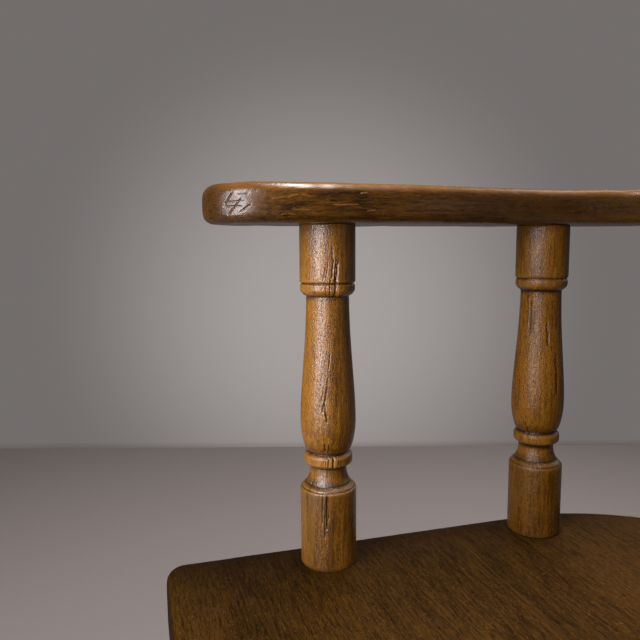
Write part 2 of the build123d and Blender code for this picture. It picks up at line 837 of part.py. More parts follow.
# Legs
foot_inner = foot_reach - foot_length
foot_middle = foot_reach - foot_length / 2
leg_flat_end = block_half + leg_flat
upper_run = foot_reach - foot_toe_inset - block_half
lower_run = foot_inner - leg_flat_end
leg_drop = leg_clearance - glide_height
toe_top = glide_height + foot_toe_height
foot_places = [
    (foot_middle * cos(radians(angle)), foot_middle * sin(radians(angle))) for angle in leg_angles.values()
]
for leg_name, angle in leg_angles.items():
    with BuildPart() as leg:
        with BuildSketch(leg_plane(angle)):
            with BuildLine():
                Bezier(
                    (block_half, leg_top),
                    (block_half + upper_run * leg_knee_handle, leg_top),
                    (block_half + upper_run * leg_ankle_handle, toe_top + foot_toe_height * leg_ankle_lift),
                    (foot_reach - foot_toe_inset, toe_top),
                )
                ThreePointArc(
                    (foot_reach - foot_toe_inset, toe_top),
                    (foot_reach, glide_height + foot_toe_height * toe_bulge_level),
                    (foot_reach - foot_toe_inset / 2, glide_height),
                )
                Line((foot_reach - foot_toe_inset / 2, glide_height), (foot_inner, glide_height))
                Bezier(
                    (foot_inner, glide_height),
                    (foot_inner - lower_run * arch_foot_handle, glide_height + leg_drop * arch_foot_lift),
                    (leg_flat_end + lower_run * arch_knee_handle, leg_clearance),
                    (leg_flat_end, leg_clearance),
                )
                Polyline((leg_flat_end, leg_clearance), (block_half, leg_clearance), (block_half, leg_top))
            make_face()
        extrude(amount=leg_thickness / 2, both=True)
        fillet(leg.edges().filter_by(GeomType.BEZIER), leg_ease)
        with BuildSketch(leg_plan(angle)) as toe_plan:
            with Locations((block_half, 0)):
                Rectangle(foot_reach - block_half, leg_thickness, align=(Align.MIN, Align.CENTER))
            fillet(toe_plan.vertices().sort_by(Axis.X)[-2:], foot_toe_round)
        extrude(amount=leg_top, mode=Mode.INTERSECT)
        with Locations(from_below(foot_places, glide_height)):
            Hole(glide_pin_radius + wood_fit, glide_pin_length + blind_gap)
        drill_for_screws(tie_screw_places, tie_screw_length)
        bore_for_leg_dowels()
    save(leg.part, leg_name)

# Tie plate under the block and the legs
with BuildPart() as leg_tie_plate:
    with BuildSketch(Plane.XY.offset(tie_plate_bottom)):
        Circle(leg_flat_end - tie_plate_margin)
        Circle(column_bore, mode=Mode.SUBTRACT)
    extrude(amount=tie_plate_thickness)
    drill_for_screws(tie_screw_places, tie_screw_length)
save(leg_tie_plate.part, "leg_tie_plate")

tie_screw = screw_blank(tie_screw_length)
with BuildPart() as tie_plate_screws:
    with Locations([(x, y, tie_plate_bottom) for x, y in tie_screw_points]):
        add(tie_screw)
save(tie_plate_screws.part, "tie_plate_screws")

# Glides under the feet, each with its pin driven up into the foot
with BuildPart() as glide_blank:
    with BuildSketch(Plane.XZ):
        with BuildLine():
            Polyline((glide_radius - glide_ease, 0), (0, 0), (0, glide_height + glide_pin_length))
            Polyline(
                (0, glide_height + glide_pin_length),
                (glide_pin_radius, glide_height + glide_pin_length),
                (glide_pin_radius, glide_height),
                (glide_radius, glide_height),
                (glide_radius, glide_ease),
            )
            RadiusArc((glide_radius, glide_ease), (glide_radius - glide_ease, 0), glide_ease)
        make_face()
    revolve(axis=Axis.Z)

with BuildPart() as foot_glides:
    with Locations(foot_places):
        add(glide_blank.part)
save(foot_glides.part, "foot_glides")
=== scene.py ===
import math

import bmesh
import bpy
import numpy as np
from mathutils import Matrix, Vector


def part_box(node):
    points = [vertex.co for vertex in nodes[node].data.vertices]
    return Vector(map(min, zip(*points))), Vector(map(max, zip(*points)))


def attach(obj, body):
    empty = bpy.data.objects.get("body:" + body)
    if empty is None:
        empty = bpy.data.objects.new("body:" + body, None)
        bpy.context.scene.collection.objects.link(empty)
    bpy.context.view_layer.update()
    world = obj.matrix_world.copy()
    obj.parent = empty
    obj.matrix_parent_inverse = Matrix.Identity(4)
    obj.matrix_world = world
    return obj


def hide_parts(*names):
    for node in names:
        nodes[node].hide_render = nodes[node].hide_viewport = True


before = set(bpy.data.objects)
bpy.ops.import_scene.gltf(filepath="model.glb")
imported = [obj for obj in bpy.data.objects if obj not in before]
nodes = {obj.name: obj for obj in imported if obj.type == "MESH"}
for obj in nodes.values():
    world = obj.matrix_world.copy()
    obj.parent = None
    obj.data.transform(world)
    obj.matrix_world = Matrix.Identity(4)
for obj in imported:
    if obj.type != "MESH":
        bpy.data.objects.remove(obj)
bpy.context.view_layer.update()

# Legs
# Four sabre legs sawn from oak plank, their arrises eased by hand and rubbed pale by shoes.
# Each is butted on a face of the column's block, doweled and glued, with the grain along its reach.


def srgb(red, green, blue):
    """Return a colour written in 0 to 255 as the linear colour that a shader takes."""
    shares = [value / 255 for value in (red, green, blue)]
    return [s / 12.92 if s <= 0.04045 else ((s + 0.055) / 1.055) ** 2.4 for s in shares] + [1.0]


def feed(tree, node, terms):
    """Set each named socket of a node to a value, or link it to the socket that feeds it."""
    for socket, term in terms.items():
        if isinstance(term, bpy.types.NodeSocket):
            tree.links.new(term, node.inputs[socket])
        else:
            node.inputs[socket].default_value = term


def add_node(tree, kind, terms=None, **settings):
    """Add a node to a tree, with its settings and with what its sockets are set to or fed by."""
    node = tree.nodes.new(kind)
    for name, value in settings.items():
        setattr(node, name, value)
    feed(tree, node, terms or {})
    return node


def calc(tree, operation, *terms, clamp=False):
    """Work out one sum from sockets and numbers, and return the socket with its result."""
    node = add_node(tree, "ShaderNodeMath", dict(enumerate(terms)), operation=operation, use_clamp=clamp)
    return node.outputs[0]


def vector_calc(tree, operation, *terms):
    """Work out one sum of vectors, and return the socket with the vector or the length that it gives."""
    node = add_node(tree, "ShaderNodeVectorMath", dict(enumerate(terms)), operation=operation)
    return node.outputs["Value" if operation in ("LENGTH", "DISTANCE") else "Vector"]


def mottle(tree, vector, factors, detail=2.0):
    """Return noise from 0 to 1 that turns over factors times in a metre along each direction."""
    scaled = vector_calc(tree, "MULTIPLY", vector, factors)
    terms = {"Vector": scaled, "Scale": 1.0, "Detail": detail, "Roughness": 0.55}
    return add_node(tree, "ShaderNodeTexNoise", terms).outputs[0]


def fade(tree, value, start, end, low=0.0, high=1.0):
    """Turn a value smoothly from low at start to high at end."""
    terms = {"Value": value, "From Min": start, "From Max": end, "To Min": low, "To Max": high}
    return add_node(tree, "ShaderNodeMapRange", terms, interpolation_type="SMOOTHSTEP").outputs[0]


def dashes(tree, vector, factors, wide):
    """Return dashes, 1 inside and 0 outside, factors of them to a metre, each filling wide of its cell."""
    scaled = vector_calc(tree, "MULTIPLY", vector, factors)
    cells = add_node(tree, "ShaderNodeTexVoronoi", {"Vector": scaled, "Scale": 1.0})
    return fade(tree, cells.outputs["Distance"], wide, wide * 0.5)


def tint(tree, share, below, above):
    """Mix two colours, each a socket or a colour, by a share."""
    return add_node(tree, "ShaderNodeMix", {0: share, 6: below, 7: above}, data_type="RGBA").outputs[2]


def make_oak_figure():
    """Return the shared figure of old waxed oak: rings, open pores, fibre, worn arrises and grime, with
    painted shade and painted sheen laid among them.

    Its grain runs along X of the coordinates that it is given, with the pith of the tree on the X axis.
    """
    ring_width = 0.0034
    ring_sway = 0.016
    usual_pore_length = 0.004
    grime_and_shade_colour = srgb(22, 12, 4)
    tree = bpy.data.node_groups.new("oak_figure", "ShaderNodeTree")
    tree.interface.new_socket("Grain", in_out="INPUT", socket_type="NodeSocketVector")
    for name in ("Pale wood", "Deep wood", "Rubbed wood and sheen", "Pore wood"):
        tree.interface.new_socket(name, in_out="INPUT", socket_type="NodeSocketColor")
    for name in ("Figure", "Ring strength", "Pore length", "Pore depth", "Pore tint", "Dullness"):
        tree.interface.new_socket(name, in_out="INPUT", socket_type="NodeSocketFloat")
    for name, kind in (("Colour", "Color"), ("Roughness", "Float"), ("Normal", "Vector")):
        tree.interface.new_socket(name, in_out="OUTPUT", socket_type=f"NodeSocket{kind}")
    given = add_node(tree, "NodeGroupInput").outputs
    grain = given["Grain"]

    # Growth rings round the pith, swaying along the trunk
    swaying = vector_calc(tree, "MULTIPLY", grain, (3.5, 11, 11))
    sway = add_node(tree, "ShaderNodeTexNoise", {"Vector": swaying, "Scale": 1.0, "Detail": 2.0}).outputs[1]
    sway = vector_calc(tree, "SUBTRACT", sway, (0.5, 0.5, 0.5))
    sway = vector_calc(tree, "MULTIPLY", sway, (0, ring_sway, ring_sway))
    bent = vector_calc(tree, "ADD", grain, sway)
    across = vector_calc(tree, "LENGTH", vector_calc(tree, "MULTIPLY", bent, (0, 1, 1)))
    rings = calc(tree, "DIVIDE", across, ring_width)
    uneven = calc(tree, "MULTIPLY", mottle(tree, bent, (5, 40, 40)), 1.6)
    ring_phase = calc(tree, "FRACT", calc(tree, "ADD", rings, uneven))
    early_wood = fade(tree, ring_phase, 0.55, 0.05)
    late_wood = fade(tree, ring_phase, 0.75, 0.98)

    # Open pores in the early wood, as short ticks along the grain, and the fibre between them
    drawn_out = calc(tree, "DIVIDE", usual_pore_length, given["Pore length"])
    drawn_out = add_node(tree, "ShaderNodeCombineXYZ", {0: drawn_out, 1: 1.0, 2: 1.0}).outputs[0]
    pore_place = vector_calc(tree, "MULTIPLY", grain, drawn_out)
    long_pores = dashes(tree, pore_place, (170, 1050, 1050), 0.42)
    short_pores = dashes(tree, pore_place, (330, 1500, 1500), 0.48)
    crowding = fade(tree, early_wood, 0.0, 1.0, 0.65, 1.0)
    pores = calc(tree, "MULTIPLY", calc(tree, "MAXIMUM", long_pores, short_pores), crowding)
    fibre = mottle(tree, grain, (80, 700, 700), 3.0)
    flame = mottle(tree, grain, (32, 170, 170))
    cloud = mottle(tree, grain, (7, 22, 22))
    grit = mottle(tree, grain, (420, 1500, 1500))

    # Wear and grime, written on the mesh where it stands proud or lies hollow, with painted sheen and
    # painted shade written among them
    wear_and_sheen = add_node(tree, "ShaderNodeAttribute", attribute_name="wear_and_sheen").outputs["Fac"]
    grime_and_shade = add_node(tree, "ShaderNodeAttribute", attribute_name="grime_and_shade").outputs["Fac"]
    patchy_wear_and_sheen = calc(tree, "MULTIPLY", wear_and_sheen, fade(tree, cloud, 0.3, 0.62, 0.25, 0.85))

    # Colour, from the wood outwards to what lies on it
    banding = calc(tree, "ADD", early_wood, calc(tree, "MULTIPLY", late_wood, 0.4))
    streaks = fade(tree, fibre, 0.25, 0.75, -0.42, 0.42)
    streaks = calc(tree, "ADD", streaks, fade(tree, flame, 0.3, 0.7, -0.2, 0.2))
    streaks = calc(tree, "ADD", streaks, fade(tree, cloud, 0.25, 0.75, -0.3, 0.3))
    depth = calc(tree, "MULTIPLY", banding, given["Ring strength"])
    depth = calc(tree, "ADD", depth, calc(tree, "MULTIPLY", streaks, given["Figure"]))
    depth = calc(tree, "ADD", depth, 0.22, clamp=True)
    colour = tint(tree, depth, given["Pale wood"], given["Deep wood"])
    colour = tint(tree, calc(tree, "MULTIPLY", pores, given["Pore tint"]), colour, given["Pore wood"])
    flecks = fade(tree, grit, 0.58, 0.74, 0.0, 0.45)
    # The rubbed colour pales worn places and also lays a painted sheen where the mesh notes it
    colour = tint(tree, calc(tree, "MAXIMUM", patchy_wear_and_sheen, flecks), colour, given["Rubbed wood and sheen"])
    # The grime colour darkens real grime and painted shade alike
    colour = tint(tree, calc(tree, "MULTIPLY", grime_and_shade, 0.92), colour, grime_and_shade_colour)

    # Gloss and relief
    roughness = calc(tree, "ADD", fade(tree, fibre, 0.2, 0.8, -0.05, 0.06), given["Dullness"])
    roughness = calc(tree, "ADD", roughness, calc(tree, "MULTIPLY", pores, -0.06))
    height = calc(tree, "SUBTRACT", calc(tree, "MULTIPLY", fibre, 0.6), calc(tree, "MULTIPLY", pores, 0.3))
    height = calc(tree, "ADD", height, grit)
    relief = {"Strength": 0.75, "Distance": given["Pore depth"], "Height": height}
    normal = add_node(tree, "ShaderNodeBump", relief).outputs[0]
    add_node(tree, "NodeGroupOutput", {"Colour": colour, "Roughness": roughness, "Normal": normal})
    return tree


oak_figure = make_oak_figure()

# The posts were turned from paler stock than the arms, seat and legs were sawn from
plank_finish = {
    "Pale wood": srgb(92, 58, 15),
    "Deep wood": srgb(36, 19, 2),
    "Rubbed wood and sheen": srgb(130, 88, 40),
    "Pore wood": srgb(30, 17, 4),
    "Figure": 1.0,
    "Ring strength": 0.16,
    "Pore length": 0.007,
    "Pore depth": 0.00016,
    "Pore tint": 0.7,
    "Dullness": 0.27,
}
turned_finish = {
    "Pale wood": srgb(150, 98, 24),
    "Deep wood": srgb(68, 38, 3),
    "Rubbed wood and sheen": srgb(170, 120, 52),
    "Pore wood": srgb(66, 37, 5),
    "Figure": 1.0,
    "Ring strength": 0.14,
    "Pore length": 0.003,
    "Pore depth": 0.0003,
    "Pore tint": 0.85,
    "Dullness": 0.32,
}
arm_finish = {
    **plank_finish,
    "Pale wood": srgb(96, 60, 14),
    "Deep wood": srgb(38, 21, 3),
    "Figure": 1.1,
    "Pore length": 0.006,
    "Pore depth": 0.00007,
    "Pore tint": 0.55,
}
seat_finish = {
    **plank_finish,
    "Pale wood": srgb(68, 44, 11),
    "Deep wood": srgb(26, 14, 2),
    "Figure": 0.95,
    "Pore tint": 0.85,
    "Dullness": 0.6,
}


def new_material(name):
    """Return a new material, with its tree and its shader."""
    material = bpy.data.materials.new(name)
    material.use_nodes = True
    return material, material.node_tree, material.node_tree.nodes["Principled BSDF"]


def oak(name, along, pith, finish, gloss):
    """Return oak with its grain in the direction along, and its tree's pith through the point pith."""
    turn = Vector(along).rotation_difference(Vector((1, 0, 0))).to_matrix()
    material, tree, shader = new_material(name)
    placing = {
        "Vector": add_node(tree, "ShaderNodeTexCoord").outputs["Object"],
        "Rotation": turn.to_euler(),
        "Location": -(turn @ Vector(pith)),
    }
    grain = add_node(tree, "ShaderNodeMapping", placing).outputs[0]
    figure = add_node(tree, "ShaderNodeGroup", {"Grain": grain, **finish}, node_tree=oak_figure).outputs
    surface = {
        "Base Color": figure["Colour"],
        "Roughness": figure["Roughness"],
        "Normal": figure["Normal"],
        "Specular IOR Level": gloss,
    }
    feed(tree, shader, surface)
    return material


def read_points(mesh):
    """Return a mesh's points as rows of X, Y and Z."""
    points = np.empty(len(mesh.vertices) * 3)
    mesh.vertices.foreach_get("co", points)
    return points.reshape(-1, 3)


def write_points(mesh, points):
    """Put a mesh's points where the rows say."""
    mesh.vertices.foreach_set("co", points.astype(np.float32).ravel())
    mesh.update()


def read_normals(mesh):
    """Return the direction that a mesh faces at each of its points."""
    normals = np.empty(len(mesh.vertices) * 3)
    mesh.vertex_normals.foreach_get("vector", normals)
    return normals.reshape(-1, 3)


def read_edges(mesh):
    """Return the two ends of each of a mesh's edges."""
    edges = np.empty(len(mesh.edges) * 2, dtype=np.int64)
    mesh.edges.foreach_get("vertices", edges)
    return edges.reshape(-1, 2)


def relaxed(points, edges, rounds):
    """Move each point half way to the middle of its neighbours, some rounds over."""
    ends = np.concatenate([edges[:, 0], edges[:, 1]])
    others = np.concatenate([edges[:, 1], edges[:, 0]])
    count = np.bincount(ends, minlength=len(points))
    for _ in range(rounds):
        middle = [np.bincount(ends, points[others, axis], len(points)) / count for axis in range(3)]
        points = points + 0.5 * (np.stack(middle, -1) - points)
    return points


def waves(points, length, seed):
    """Return a smooth seeded unevenness from -1 to 1 whose swells are about length apart."""
    draw = np.random.default_rng(seed)
    directions = draw.normal(size=(7, 3))
    directions /= np.linalg.norm(directions, axis=1)[:, None]
    turns = draw.uniform(0.6, 1.5, 7) * 2 * math.pi / length
    starts = draw.uniform(0, 2 * math.pi, 7)
    return np.sin(points @ (directions * turns[:, None]).T + starts).mean(1) * 1.6


def note(mesh, name, values):
    """Write a value for each of a mesh's points, for its material to read."""
    attribute = mesh.attributes.get(name) or mesh.attributes.new(name, "FLOAT", "POINT")
    attribute.data.foreach_set("value", np.clip(values, 0, 1).astype(np.float32))


def note_wear(mesh, worn_at, grimy_at, dirt_and_shade=0.0, rubbed_and_sheen=0.0, rounds=12):
    """Note where a piece stands proud and is rubbed pale, and where it lies hollow and holds grime.

    Both are measured from the smoothed piece, and are full at about worn_at over it and grimy_at under it.
    The least grime and the least rubbing that are given are laid on as well, and in places they are painted
    shade and a painted sheen.
    """
    wear_margin = 0.15
    grime_margin = 0.1
    points = read_points(mesh)
    proud = ((points - relaxed(points, read_edges(mesh), rounds)) * read_normals(mesh)).sum(1)
    note(mesh, "wear_and_sheen", np.maximum(proud / worn_at - wear_margin, rubbed_and_sheen))
    note(mesh, "grime_and_shade", np.maximum(-proud / grimy_at - grime_margin, dirt_and_shade))


def welded(node):
    """Return a copy of a CAD node's mesh with its loose triangles joined."""
    mesh = nodes[node].data.copy()
    work = bmesh.new()
    work.from_mesh(mesh)
    bmesh.ops.remove_doubles(work, verts=work.verts, dist=1e-6)
    work.to_mesh(mesh)
    work.free()
    return mesh


def new_piece(name, data):
    """Return a new object in the scene."""
    piece = bpy.data.objects.new(name, data)
    bpy.context.scene.collection.objects.link(piece)
    return piece


def make_plain(piece):
    """Turn what a piece's modifiers make into its own plain mesh."""
    seen = piece.evaluated_get(bpy.context.evaluated_depsgraph_get())
    mesh = bpy.data.meshes.new_from_object(seen)
    piece.modifiers.clear()
    piece.data = mesh


def evenly_meshed(mesh, name, grid):
    """Return a new piece with a mesh's shape, covered evenly by small faces."""
    piece = new_piece(name, mesh)
    remesh = piece.modifiers.new("even", "REMESH")
    remesh.mode = "VOXEL"
    remesh.voxel_size = grid
    remesh.use_smooth_shade = True
    make_plain(piece)
    return piece


def ease_by_hand(mesh, seed, rounds, unevenness):
    """Soften a piece's arrises and leave the slight unevenness of a hand-worked surface."""
    write_points(mesh, relaxed(read_points(mesh), read_edges(mesh), rounds))
    points = read_points(mesh)
    swell = waves(points, 0.045, seed) + 0.5 * waves(points, 0.014, seed + 1)
    write_points(mesh, points + read_normals(mesh) * (unevenness * swell)[:, None])


def worked(node, made, grid, seed, rounds=3, unevenness=0.00012, worn_at=0.0007, grimy_at=0.0005):
    """Return a CAD node's shape as a piece worked by hand, with its arrises eased and rubbed by use."""
    piece = evenly_meshed(welded(node), f"{node}_{made}", grid)
    ease_by_hand(piece.data, seed, rounds, unevenness)
    note_wear(piece.data, worn_at, grimy_at)
    return piece


def dress(piece, material):
    """Give a piece its one material."""
    piece.data.materials.clear()
    piece.data.materials.append(material)


def stand_in(piece, node, body):
    """Let a finished piece take the place of a CAD node on its body."""
    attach(piece, body)
    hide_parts(node)


leg_grid = 0.0018
leg_fall = -0.32
pedestal_gloss = 0.3
leg_turns = {"leg_rear_left": 45, "leg_rear_right": 135, "leg_front_right": 225, "leg_front_left": 315}
for index, (leg_node, turn) in enumerate(leg_turns.items()):
    reach = Vector((math.cos(math.radians(turn)), math.sin(math.radians(turn)), 0))
    leg = worked(leg_node, "sawn", leg_grid, 10 + index)
    along = (reach.x, reach.y, leg_fall)
    pith = reach * (0.4 * index) + Vector((0.02, -0.03, 0.21))
    dress(leg, oak(f"oak_{leg_node}", along, pith, plank_finish, pedestal_gloss))
    stand_in(leg, leg_node, "base")

# Leg dowels
# Plain beech dowels, two to a leg, glued across the joint between the block and each leg.


def plain_wood(name, pale, deep, along):
    """Return a close-grained wood without open pores, with its grain in the directions marked by along."""
    material, tree, shader = new_material(name)
    place = add_node(tree, "ShaderNodeTexCoord").outputs["Object"]
    fibre = mottle(tree, place, tuple(40 if part else 900 for part in along), 3.0)
    colour = tint(tree, fade(tree, fibre, 0.3, 0.7), pale, deep)
    feed(tree, shader, {"Base Color": colour, "Roughness": fade(tree, fibre, 0.2, 0.8, 0.5, 0.7)})
    return material


beech = plain_wood("beech", srgb(206, 170, 126), srgb(176, 134, 92), (1, 1, 0))
dress(nodes["leg_dowels"], beech)

# Glides
# Domed steel glides, nickel plated and scuffed below, each driven into the end of a foot by its pin.


def metal(name, bright, dull, roughness, patches=60, pits=900):
    """Return a metal that is dulled in patches and finely pitted, both given as turns in a metre."""
    material, tree, shader = new_material(name)
    place = add_node(tree, "ShaderNodeTexCoord").outputs["Object"]
    tarnish = mottle(tree, place, (patches, patches, patches), 4.0)
    grit = mottle(tree, place, (pits, pits, pits))
    colour = tint(tree, fade(tree, tarnish, 0.35, 0.65), bright, dull)
    colour = tint(tree, fade(tree, grit, 0.62, 0.75, 0.0, 0.5), colour, dull)
    relief = {"Strength": 0.3, "Distance": 0.0001, "Height": grit}
    surface = {
        "Base Color": colour,
        "Roughness": fade(tree, tarnish, 0.3, 0.7, roughness - 0.08, roughness + 0.12),
        "Normal": add_node(tree, "ShaderNodeBump", relief).outputs[0],
        "Metallic": 1.0,
    }
    feed(tree, shader, surface)
    return material


def new_tree(name, inputs):
    """Return an empty tree for geometry, and the sockets by which its geometry and named inputs come."""
    tree = bpy.data.node_groups.new(name, "GeometryNodeTree")
    for label, kind in {"Geometry": "Geometry", **inputs}.items():
        tree.interface.new_socket(label, in_out="INPUT", socket_type=f"NodeSocket{kind}")
    tree.interface.new_socket("Geometry", in_out="OUTPUT", socket_type="NodeSocketGeometry")
    return tree, add_node(tree, "NodeGroupInput").outputs


def end_tree(tree, shape, finish):
    """End a tree in real geometry of one material, and return it."""
    real = add_node(tree, "GeometryNodeRealizeInstances", {0: shape}).outputs[0]
    dressed = add_node(tree, "GeometryNodeSetMaterial", {"Geometry": real, "Material": finish})
    add_node(tree, "NodeGroupOutput", {0: dressed.outputs[0]})
    return tree


def make_lathe():
    """Return the tree that spins a drawn profile, X outwards and Z up, round an upright axis.

    Crowding draws the points closer together on the side that Facing gives.
    """
    inputs = {
        "Segments": "Int",
        "Rings": "Int",
        "Centre": "Vector",
        "Wobble": "Float",
        "Crowding": "Float",
        "Facing": "Float",
        "Seed": "Float",
        "Finish": "Material",
    }
    tree, given = new_tree("lathe", inputs)
    blank = {
        "Size X": 1.0,
        "Size Y": 1.0,
        "Vertices X": calc(tree, "ADD", given["Segments"], 1),
        "Vertices Y": given["Rings"],
    }
    grid = add_node(tree, "GeometryNodeMeshGrid", blank).outputs[0]
    position = add_node(tree, "GeometryNodeInputPosition").outputs[0]
    at = add_node(tree, "ShaderNodeSeparateXYZ", {0: position}).outputs
    even_angle = calc(tree, "MULTIPLY", calc(tree, "ADD", at[0], 0.5), 2 * math.pi)
    crowd = calc(tree, "SINE", calc(tree, "SUBTRACT", even_angle, given["Facing"]))
    angle = calc(tree, "SUBTRACT", even_angle, calc(tree, "MULTIPLY", crowd, given["Crowding"]))
    along = calc(tree, "ADD", at[1], 0.5, clamp=True)
    profile = add_node(tree, "GeometryNodeMeshToCurve", {0: given["Geometry"]}).outputs[0]
    traced = add_node(tree, "GeometryNodeSampleCurve", {"Curves": profile, "Factor": along}, mode="FACTOR")
    point = add_node(tree, "ShaderNodeSeparateXYZ", {0: traced.outputs["Position"]}).outputs
    radius = point[0]
    height = point[2]
    cosine = calc(tree, "COSINE", angle)
    sine = calc(tree, "SINE", angle)
    around = {0: cosine, 1: sine, 2: calc(tree, "MULTIPLY", height, 30)}
    around = add_node(tree, "ShaderNodeCombineXYZ", around).outputs[0]
    swelling = {"Vector": around, "W": given["Seed"], "Scale": 0.8, "Detail": 1.0}
    uneven = add_node(tree, "ShaderNodeTexNoise", swelling, noise_dimensions="4D").outputs[0]
    swell = calc(tree, "MULTIPLY", calc(tree, "SUBTRACT", uneven, 0.5), given["Wobble"])
    reach = calc(tree, "ADD", radius, calc(tree, "MULTIPLY", swell, radius))
    spun = {0: calc(tree, "MULTIPLY", reach, cosine), 1: calc(tree, "MULTIPLY", reach, sine), 2: height}
    spun = add_node(tree, "ShaderNodeCombineXYZ", spun).outputs[0]
    placed = vector_calc(tree, "ADD", spun, given["Centre"])
    moved = add_node(tree, "GeometryNodeSetPosition", {"Geometry": grid, "Position": placed}).outputs[0]
    closed = add_node(tree, "GeometryNodeMergeByDistance", {"Geometry": moved, "Distance": 1e-6}).outputs[0]
    smooth = add_node(tree, "GeometryNodeSetShadeSmooth", {"Geometry": closed}).outputs[0]
    return end_tree(tree, smooth, given["Finish"])


def make_repeat():
    """Return the tree that sets one made shape at every given place, each turned at random about Z."""
    inputs = {"Shape": "Object", "Random turn": "Float", "Seed": "Int", "Finish": "Material"}
    tree, given = new_tree("repeat", inputs)
    shape = add_node(tree, "GeometryNodeObjectInfo", {"Object": given["Shape"]}).outputs["Geometry"]
    spread = {"Max": given["Random turn"], "Seed": given["Seed"]}
    turn = add_node(tree, "FunctionNodeRandomValue", spread, data_type="FLOAT").outputs[1]
    facing = add_node(tree, "ShaderNodeCombineXYZ", {2: turn}).outputs[0]
    rotation = add_node(tree, "FunctionNodeEulerToRotation", {0: facing}).outputs[0]
    points = add_node(tree, "GeometryNodeMeshToPoints", {"Mesh": given["Geometry"]}).outputs[0]
    copying = {"Points": points, "Instance": shape, "Rotation": rotation}
    copies = add_node(tree, "GeometryNodeInstanceOnPoints", copying).outputs[0]
    return end_tree(tree, copies, given["Finish"])


lathe = make_lathe()
repeat = make_repeat()


def grown(tree, start, name, inputs):
    """Run a tree on a starting mesh and return its result as a piece with a plain mesh."""
    piece = new_piece(name, start)
    modifier = piece.modifiers.new("tree", "NODES")
    modifier.node_group = tree
    sockets = {item.name: item.identifier for item in tree.interface.items_tree if item.in_out == "INPUT"}
    for label, value in inputs.items():
        modifier[sockets[label]] = value
    make_plain(piece)
    return piece


def drawn(points, joined=False):
    """Return a mesh of points, joined one to the next where they draw a line."""
    mesh = bpy.data.meshes.new("drawn")
    links = [(start, start + 1) for start in range(len(points) - 1)] if joined else []
    mesh.from_pydata([tuple(point) for point in points], links, [])
    return mesh


def turned(profile, name, material, rings, segments, **more):
    """Spin a profile of radii and heights on the lathe tree and return the piece, facing outwards."""
    start = drawn([(radius, 0, height) for radius, height in profile], joined=True)
    inputs = {
        "Segments": segments,
        "Rings": rings,
        "Finish": material,
        **{label.capitalize(): value for label, value in more.items()},
    }
    piece = grown(lathe, start, name, inputs)
    work = bmesh.new()
    work.from_mesh(piece.data)
    bmesh.ops.recalc_face_normals(work, faces=work.faces)
    work.to_mesh(piece.data)
    work.free()
    return piece


def solids_of(node):
    """Return the points of each separate solid in a CAD node, in one array for each."""
    mesh = welded(node)
    group = np.arange(len(mesh.vertices))
    edges = read_edges(mesh)
    changed = True
    while changed:
        low = np.minimum(group[edges[:, 0]], group[edges[:, 1]])
        before = group.copy()
        np.minimum.at(group, edges[:, 0], low)
        np.minimum.at(group, edges[:, 1], low)
        group = group[group]
        changed = not np.array_equal(before, group)
    points = read_points(mesh)
    bpy.data.meshes.remove(mesh)
    return [points[group == label] for label in np.unique(group)]


def repeated(shape, places, name, material, random_turn=0.0, seed=0):
    """Set a shape at each place with the repeat tree, and remove the shape that was copied."""
    inputs = {"Shape": shape, "Random turn": random_turn, "Seed": seed, "Finish": material}
    piece = grown(repeat, drawn(places), name, inputs)
    bpy.data.objects.remove(shape)
    return piece


glide_nickel = metal("glide_nickel", srgb(196, 190, 178), srgb(120, 112, 100), 0.32)
glide_solids = solids_of("foot_glides")
glide_low = min(points[:, 2].min() for points in glide_solids)
glide_top = max(points[:, 2].max() for points in glide_solids)
glide_middles = [(points.max(0) + points.min(0)) / 2 for points in glide_solids]
glide_radius = np.ptp(glide_solids[0][:, 0]) / 2
glide_rim = 0.006
glide_pin = 0.002
glide_profile = [
    (0.0, glide_low),
    (glide_radius * 0.72, glide_low + 0.0002),
    (glide_radius * 0.9, glide_low + 0.0011),
    (glide_radius * 0.985, glide_low + 0.0026),
    (glide_radius, glide_low + 0.004),
    (glide_radius, glide_low + glide_rim),
    (glide_pin, glide_low + glide_rim),
    (glide_pin, glide_top),
    (0.0, glide_top),
]
glide_shape = turned(glide_profile, "glide_shape", glide_nickel, 48, 40)
glide_places = [(middle[0], middle[1], 0.0) for middle in glide_middles]
glides = repeated(glide_shape, glide_places, "foot_glides_domed", glide_nickel)
stand_in(glides, "foot_glides", "base")

# Pedestal column
# Turned from one oak billet, with a square block left at the foot for the legs and a vase above it.
# It is bored through for the sleeve of the swivel, and its hollows have gathered wax and dust.

column_grid = 0.002
column = worked("pedestal_column", "turned", column_grid, 30, rounds=2, grimy_at=0.0004)
dress(column, oak("oak_column", (0, 0, 1), (0.012, 0.02, 0.9), plank_finish, pedestal_gloss))
stand_in(column, "pedestal_column", "base")

# Tie plate and its screws
# A round plate of blackened steel under the block, held by slotted screws into the block and the legs.

blackened = metal("blackened_plate", srgb(58, 55, 52), srgb(34, 30, 27), 0.52, 35)
dress(nodes["leg_tie_plate"], blackened)
screw_steel = metal("screw_steel", srgb(150, 142, 130), srgb(84, 74, 62), 0.38, 220)

screw_shank = 0.0024
screw_slot_width = 0.0012
screw_slot_depth = 0.0011
# Turns of a screw's thread, where it starts and how far it runs, and its taper, as shares of the shank
thread_turns = 14
thread_start = 0.3
thread_run = 0.62
thread_root = 0.84
point_start = 0.72
point_taper = 0.75


